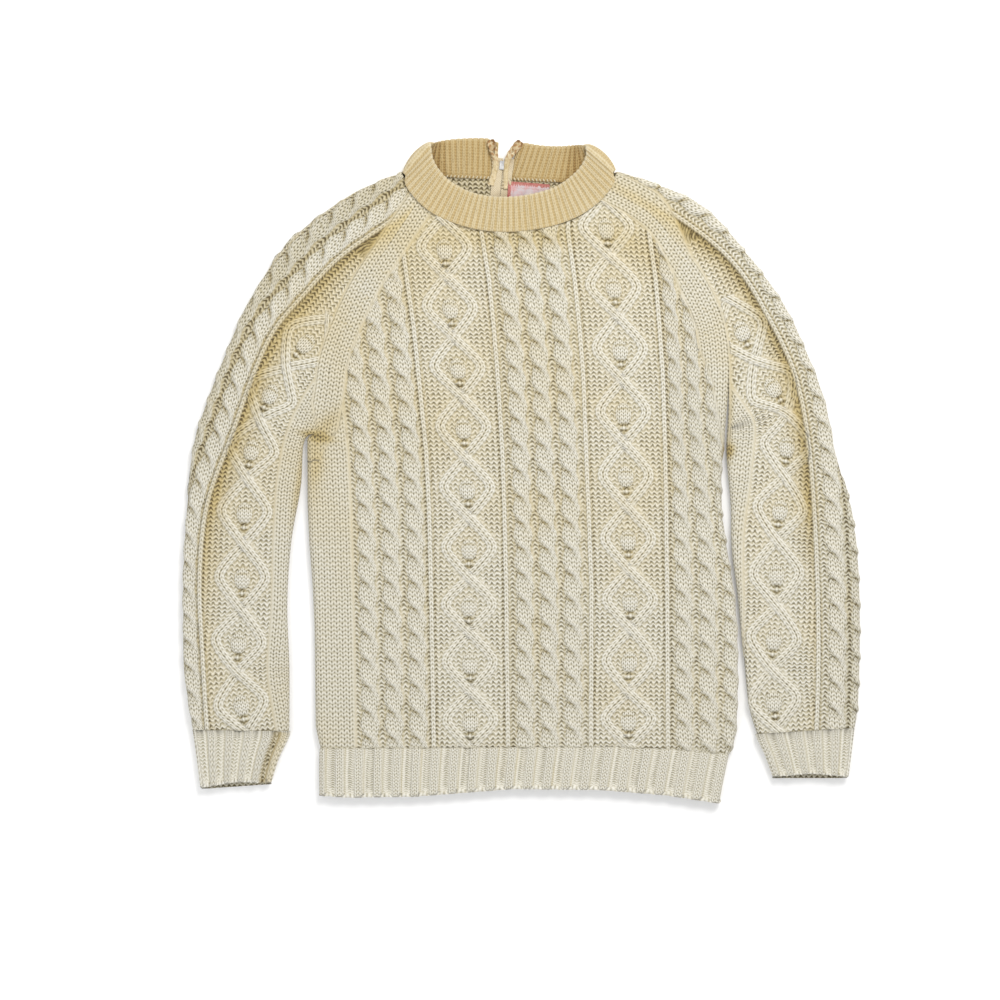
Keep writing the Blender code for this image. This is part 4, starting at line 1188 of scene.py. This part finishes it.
def collar_form(columns):
    fine, reached = collar_path()
    corners = np.array(COLLAR_SECTION)

    def form(column, row):
        run = row * reached[-1]
        count = np.arange(COLLAR_STEPS)
        at = np.interp(run, reached, count)
        station = np.stack([np.interp(at, count, column) for column in fine.T], axis=1)
        seam, top, facing, thick = station[:, :3], station[:, 3:6], station[:, 6:9], station[:, 9]
        facing = facing / np.linalg.norm(facing, axis=1)[:, None]
        around = spline(corners, column / columns * (len(corners) - 1))
        across, through = around[:, 0], around[:, 1]
        band = np.linalg.norm(top - seam, axis=1)
        count = run / COLLAR_RIB
        away = np.abs(count - np.round(count)) * COLLAR_RIB  # from the middle of a plain stitch
        half = 1.9
        body = ease(across * 9) * 0.75 + 0.25
        ridge = np.sqrt(np.clip(1 - (away / 2.95) ** 2, 0, 1))
        rim = ease(across * 9 - 8)
        knit = Knit(count * WALE + WALE / 2, across * band * COURSE / COLLAR_COURSE)
        knit.drawn += 1.15
        rows = across * band / COLLAR_COURSE
        knit.work(ridge + 0.01, away / (2 * half) + 0.5, rows, half - away, 0.95 + 0.2 * rim)
        groove = 1 - ridge
        # Painted shade beside each rib, over the inner layer and under its lower edge, and more where the
        # inner layer turns down at the shoulder folds.
        shade = 0.25 * bell(away - 2.95, 1.0) * (1 - 0.5 * rim)
        inner = through < 0
        lower = bell(across * band - 1.5, 2.0)
        knit.painted_shade = np.maximum(shade * body, 0.25 * lower * inner) + 0.27 * inner + 0.05
        corner = sum(bell(run - reached[-1] * share, 12.0) for share in COLLAR_CORNERS)
        knit.painted_shade = knit.painted_shade + 0.36 * corner * (facing[:, 2] < 0.5) * inner
        depth = (0.2 - 1.15 * groove) * body
        end = np.minimum(row, 1 - row) * reached[-1]
        folded = 1 - np.abs(facing[:, 2])
        out = through * thick * (1 - 0.15 * folded * across)
        out = out + 5.0 * folded * across * (1 - across) * 4
        place = seam + (top - seam) * across[:, None] + facing * out[:, None]
        side = np.where(np.abs(through) > 0.3, np.sign(through), through / 0.3 * 0.6)
        tip = ease(across * 6 - 5)[:, None] * (top - seam) / band[:, None]
        outward = facing * side[:, None] + tip
        outward = outward / np.maximum(np.linalg.norm(outward, axis=1), 0.2)[:, None]
        place = place + outward * (depth - 0.15)[:, None]
        # Painted shade at the collar's ends.
        knit.painted_shade = knit.painted_shade + 0.12 * bell(end, 3.0)
        pale = 0.15 + 0.7 * rim + 0.25 * ease((np.abs(place[:, 0] + 12) - 60) / 40)
        return place, knit, pale

    return form


collar_mesh = knitted("collar_rib", 40, 640, collar_form(40))
collar = add("collar_rib", collar_mesh, GOLD, "collar")

# ---- Zip
# A short zip with plastic teeth closes the back of the neck. Its cotton tapes are sewn behind the
# edges of the slot and creased by wear. Only its slider and the top of its tapes show.

ZIP_LENGTH = 100.0
TAPE_WIDTH, TAPE_THICK, TAPE_HEIGHT, CHAIN_GAP = 10.4, 0.6, 5.35, 1.0
ZIP_TURN = Matrix.Rotation(math.radians(-ZIP_SLANT), 4, "Z")
ZIP_PLACE = Matrix.Translation(Vector((*ZIP_TOP, 0.0)) * MM) @ ZIP_TURN


def woven(name, light, dark, sheen, thread):
    """Fine woven cloth, with warm stained patches."""
    finish = Finish(name, Roughness=0.85, Sheen_Weight=sheen)
    x, y, z = finish.split(finish.places())
    weave = x.math("SINE", x * thread) * x.math("SINE", y * thread)
    stain = finish.noise(60.0, 4.0)
    colour = finish.ramp(stain + weave * 0.12, ((0.3, dark), (0.62, light)))
    return finish.done(Base_Color=colour, Bump=(weave + stain * 2.0, 0.2 * MM))


TAPE = woven("zip_tape_cotton", (0.66, 0.57, 0.4), (0.5, 0.41, 0.27), 0.2, 2600.0)


def tape_mesh(name, hand):
    """A tape as a thin creased strip, its outer edge turned up against the wool."""
    bm = bmesh.new()
    bmesh.ops.create_grid(bm, x_segments=10, y_segments=90, size=1.0)
    for vertex in bm.verts:
        across, along = (vertex.co.x + 1) / 2, (vertex.co.y + 1) / 2
        x = hand * (CHAIN_GAP / 2 * (along > 0.9) + 0.1 + (TAPE_WIDTH - 0.1) * across)
        crease = math.sin(along * 31 + across * 2.2 * hand) * 0.5 + math.sin(along * 67 + across * 3) * 0.25
        z = TAPE_HEIGHT + 0.1 + across * (0.9 + 0.7 * crease)
        vertex.co = Vector((x, (along - 1) * ZIP_LENGTH + along * 6.0, z)) * MM
    bmesh.ops.solidify(bm, geom=bm.faces, thickness=-0.35 * MM)
    bmesh.ops.recalc_face_normals(bm, faces=bm.faces)
    bmesh.ops.transform(bm, matrix=ZIP_PLACE, verts=bm.verts)
    return mesh_of(bm, name)


for name, hand in (("zip_tape_left", -1), ("zip_tape_right", 1)):
    tape = add(name + "_cloth", tape_mesh(name + "_cloth", hand), TAPE, name)

TOOTH_PITCH = 1.6
nylon = Finish("zip_nylon", Base_Color=(0.6, 0.56, 0.46, 1.0), Roughness=0.45)
bm = bmesh.new()
for number in range(int(ZIP_LENGTH / TOOTH_PITCH) - 2):
    for hand in (-1, 1):
        y = -3.5 - (number + 0.25 * hand) * TOOTH_PITCH
        made = bmesh.ops.create_uvsphere(bm, u_segments=8, v_segments=5, radius=1.0 * MM)["verts"]
        bmesh.ops.scale(bm, vec=(1.1, 0.42, 0.55), verts=made)
        bmesh.ops.translate(bm, vec=Vector((hand * 0.75, y, TAPE_HEIGHT - TAPE_THICK)) * MM, verts=made)
bmesh.ops.transform(bm, matrix=ZIP_PLACE, verts=bm.verts)
add("zip_teeth", mesh_of(bm, "zip_teeth"), nylon.material, None)

# ---- Rolled collar ends
# Each end of the collar is turned back round the top of its tape and rolls open, so that the tan
# lining shows. Thread overcasts the edges beside the zip and the collar's inner hem.

ROLLS = (
    # x, y, z of the roll's middle, then half its width and half its height
    ((-31.5, 348.0, 8.8, 4.4, 3.3), (-29.0, 338.5, 8.6, 4.2, 3.2), (-26.2, 327.0, 7.6, 3.2, 2.8),
     (-27.0, 316.0, 6.8, 3.0, 2.2), (-31.5, 300.0, 6.4, 3.4, 1.4)),
    ((0.6, 346.2, 8.8, 4.4, 3.3), (-6.0, 338.0, 8.6, 4.2, 3.2), (-12.6, 328.5, 7.6, 3.4, 2.8),
     (-15.2, 316.0, 6.8, 2.6, 2.2), (-15.8, 296.0, 6.4, 2.2, 1.5)),
)


def lining():
    finish = Finish("collar_lining", Roughness=0.9, Sheen_Weight=0.2)
    depth = finish.attribute("depth")
    grain = finish.noise(500.0, 3.0)
    ribs = finish.noise(160.0, 2.0)
    outer = finish.ramp(grain * 0.5 + ribs * 0.5, ((0.38, (0.5, 0.385, 0.2)), (0.62, (0.72, 0.61, 0.4))))
    # Where the roll's inside lies deep, the colour is painted shade, dark brown.
    colour = finish.blend(depth, outer, (0.4, 0.225, 0.09, 1.0))
    return finish.done(Base_Color=colour, Bump=(grain + ribs * 2.0, 0.4 * MM))


LINING = lining()
for name, table in zip(("collar_end_left", "collar_end_right"), ROLLS):
    bm = bmesh.new()
    bmesh.ops.create_grid(bm, x_segments=28, y_segments=40, size=1.0)
    rows = spline(table, np.linspace(0, len(table) - 1, 41))
    for vertex in bm.verts:
        row = round((vertex.co.y + 1) * 20)
        opened = 1.3 * ease((0.42 - row / 40) / 0.3)
        turn = math.pi / 2 + opened + (vertex.co.x + 1) * (math.pi - opened)
        x, y, z, half_width, half_height = rows[row]
        ahead = rows[min(row + 1, 40)] - rows[max(row - 1, 0)]
        across = Vector((-ahead[1], ahead[0], 0.0)).normalized()
        wrinkle = 1 + 0.07 * math.sin(row * 1.3 + turn * 2)
        wrinkle *= math.sqrt(1 - max(1 - row / 5, 0) ** 2 * 0.9)
        step = across * math.cos(turn) * half_width * wrinkle
        step += Vector((0, 0, math.sin(turn) * half_height))
        vertex.co = (Vector((x, y, z)) + step) * MM
    bmesh.ops.solidify(bm, geom=bm.faces, thickness=0.9 * MM)
    bmesh.ops.recalc_face_normals(bm, faces=bm.faces)
    mesh = mesh_of(bm, name)
    places = points(mesh) / MM
    nearest = np.linalg.norm(places[:, None] - rows[:, :3], axis=2).argmin(axis=1)
    at = rows[nearest]
    off = places - at[:, :3]
    reach = np.hypot(np.hypot(off[:, 0], off[:, 1]) / at[:, 3], off[:, 2] / at[:, 4])
    # The roll's inside, towards its open end, gets painted shade.
    deep = (reach < (np.percentile(reach, 5) + np.percentile(reach, 95)) / 2) * ease((26 - nearest) / 10)
    store(mesh, "depth", deep)
    add(name, mesh, LINING, None)

thread = Finish("white_thread", Base_Color=(0.56, 0.48, 0.32, 1.0), Roughness=0.8)
STITCH_LINES = (
    # start and end of each row of overcast stitches, their number, and their turn in degrees
    ((-77.0, 309.6), (-34.0, 308.0), 12, 62.0),
    ((-10.0, 306.8), (36.0, 304.8), 13, 118.0),
    ((-13.5, 327.0), (-18.6, 298.0), 9, 30.0),
    ((-29.6, 331.0), (-28.6, 316.0), 5, 120.0),
    ((-29.5, 312.0), (-33.5, 300.0), 4, 120.0),
)
bm = bmesh.new()
for start, end, count, turn in STITCH_LINES:
    for number in range(count):
        x, y = Vector(start).lerp(Vector(end), number / (count - 1))
        made = bmesh.ops.create_uvsphere(bm, u_segments=10, v_segments=6, radius=1.0 * MM)["verts"]
        bmesh.ops.scale(bm, vec=(1.9, 0.85, 0.7), verts=made)
        lean = math.radians(turn + 8 * math.sin(number * 2.3))
        bmesh.ops.rotate(bm, matrix=Matrix.Rotation(lean, 3, "Z"), verts=made)
        bmesh.ops.translate(bm, vec=Vector((x, y, 7.6)) * MM, verts=made)
add("overcast_stitches", mesh_of(bm, "overcast_stitches"), thread.material, None)

# ---- Zip slider and pull
# Both are cast in grey metal, dulled and a little scratched. The pull hangs on the outside of the
# back, from the slider's arch.


def worn_metal(name):
    finish = Finish(name, Metallic=1.0)
    scratch = finish.noise(900.0, 4.0)
    wear = finish.noise(220.0, 2.0)
    colour = finish.ramp(wear * 0.7 + scratch * 0.3, ((0.35, (0.3, 0.3, 0.31)), (0.65, (0.56, 0.56, 0.55))))
    return finish.done(Base_Color=colour, Roughness=wear * 0.3 + 0.28, Bump=(scratch, 0.05 * MM))


metal = worn_metal("slider_alloy")
for name in ("zip_slider", "zip_pull"):
    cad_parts[name].material_slots[0].material = metal

# ---- Neck label
# A small woven label, sewn inside the back of the neck. It has a red edge with a fine zigzag, and
# its field is faded pink, with nothing on it.

LABEL_SIZE = (43.6, 25.6)
LABEL_PLACE, LABEL_TURN = (8.1, 290.0, 6.35), -4.5


def label_finish():
    finish = Finish("label_satin", Roughness=0.6, Sheen_Weight=0.4)
    x, y, edge = finish.split(finish.attribute("cut", "Vector"))
    ragged = (finish.noise(420.0, 3.0) - 0.5) * 7.0
    teeth = abs((x * 0.42) % 1.0 - 0.5) * 2.2
    rim = (1.0 - (edge + ragged - teeth - 2.2) * 0.8).limit()
    second = (1.0 - abs(edge + ragged * 0.6 - 6.3) * 1.4).limit() * 0.55
    faded = finish.ramp(finish.noise(120.0, 3.0) + x * 0.006, (
        (0.3, (0.66, 0.36, 0.36)), (0.5, (0.58, 0.5, 0.52)), (0.8, (0.78, 0.66, 0.63))))
    red = finish.ramp(finish.noise(900.0, 2.0), ((0.35, (0.34, 0.06, 0.05)), (0.7, (0.6, 0.27, 0.22))))
    colour = finish.blend((rim + second).limit(), faded, red)
    weave = x.math("SINE", x * 9.0) * x.math("SINE", y * 9.0)
    return finish.done(Base_Color=colour, Bump=(weave, 0.08 * MM))


bm = bmesh.new()
bmesh.ops.create_grid(bm, x_segments=60, y_segments=36, size=1.0)
for vertex in bm.verts:
    x, y = vertex.co.x * LABEL_SIZE[0] / 2, vertex.co.y * LABEL_SIZE[1] / 2
    wave = 0.35 * math.sin(x * 0.21 + y * 0.1) + 0.25 * math.sin(x * 0.5 - y * 0.33)
    vertex.co = Vector((x, y, wave)) * MM
bmesh.ops.solidify(bm, geom=bm.faces, thickness=-0.35 * MM)
bmesh.ops.recalc_face_normals(bm, faces=bm.faces)
label_mesh = mesh_of(bm, "neck_label_cloth")
flat = points(label_mesh) / MM
edge = np.minimum(LABEL_SIZE[1] / 2 - flat[:, 1], LABEL_SIZE[0] / 2 + flat[:, 0])
cut = np.stack([flat[:, 0], flat[:, 1], edge], axis=1)
store(label_mesh, "cut", cut)
place = Matrix.Translation(Vector(LABEL_PLACE) * MM) @ Matrix.Rotation(math.radians(LABEL_TURN), 4, "Z")
label_mesh.transform(place)
label = add("neck_label_cloth", label_mesh, label_finish(), "neck_label")

# ---- Floor, light and camera

bm = bmesh.new()
bmesh.ops.create_grid(bm, x_segments=1, y_segments=1, size=4.0)
floor = bpy.data.objects.new("floor", mesh_of(bm, "floor"))
bpy.context.scene.collection.objects.link(floor)
WHITE = (0.9, 0.9, 0.9, 1.0)
paper = Finish("pale_floor", Base_Color=WHITE, Roughness=0.8, Emission_Color=WHITE, Emission_Strength=0.14)
floor.data.materials.append(paper.material)

world = bpy.data.worlds.new("studio")
bpy.context.scene.world = world
world.use_nodes = True
world.node_tree.nodes["Background"].inputs["Color"].default_value = (1.0, 1.0, 1.0, 1.0)
world.node_tree.nodes["Background"].inputs["Strength"].default_value = 0.64


def softbox(name, place, size, watts, colour):
    lamp = bpy.data.lights.new(name, "AREA")
    lamp.shape, lamp.size, lamp.energy, lamp.color = "SQUARE", size, watts, colour
    made = bpy.data.objects.new(name, lamp)
    made.location = place
    made.rotation_euler = (-Vector(place)).to_track_quat("-Z", "Y").to_euler()
    bpy.context.scene.collection.objects.link(made)


softbox("window", (0.6, 1.2, 1.7), 0.9, 31.0, (1.0, 0.985, 0.96))
softbox("fill", (-0.9, -1.2, 1.6), 1.4, 9.0, (0.95, 0.97, 1.0))

camera = bpy.data.objects.new("camera", bpy.data.cameras.new("camera"))
bpy.context.scene.collection.objects.link(camera)
camera.location = (-0.0215, -0.031, 2.6)
camera.data.lens = 36.0 * (2.6 - 0.012) / 1.05
bpy.context.scene.camera = camera
bpy.context.scene.view_settings.view_transform = "Standard"
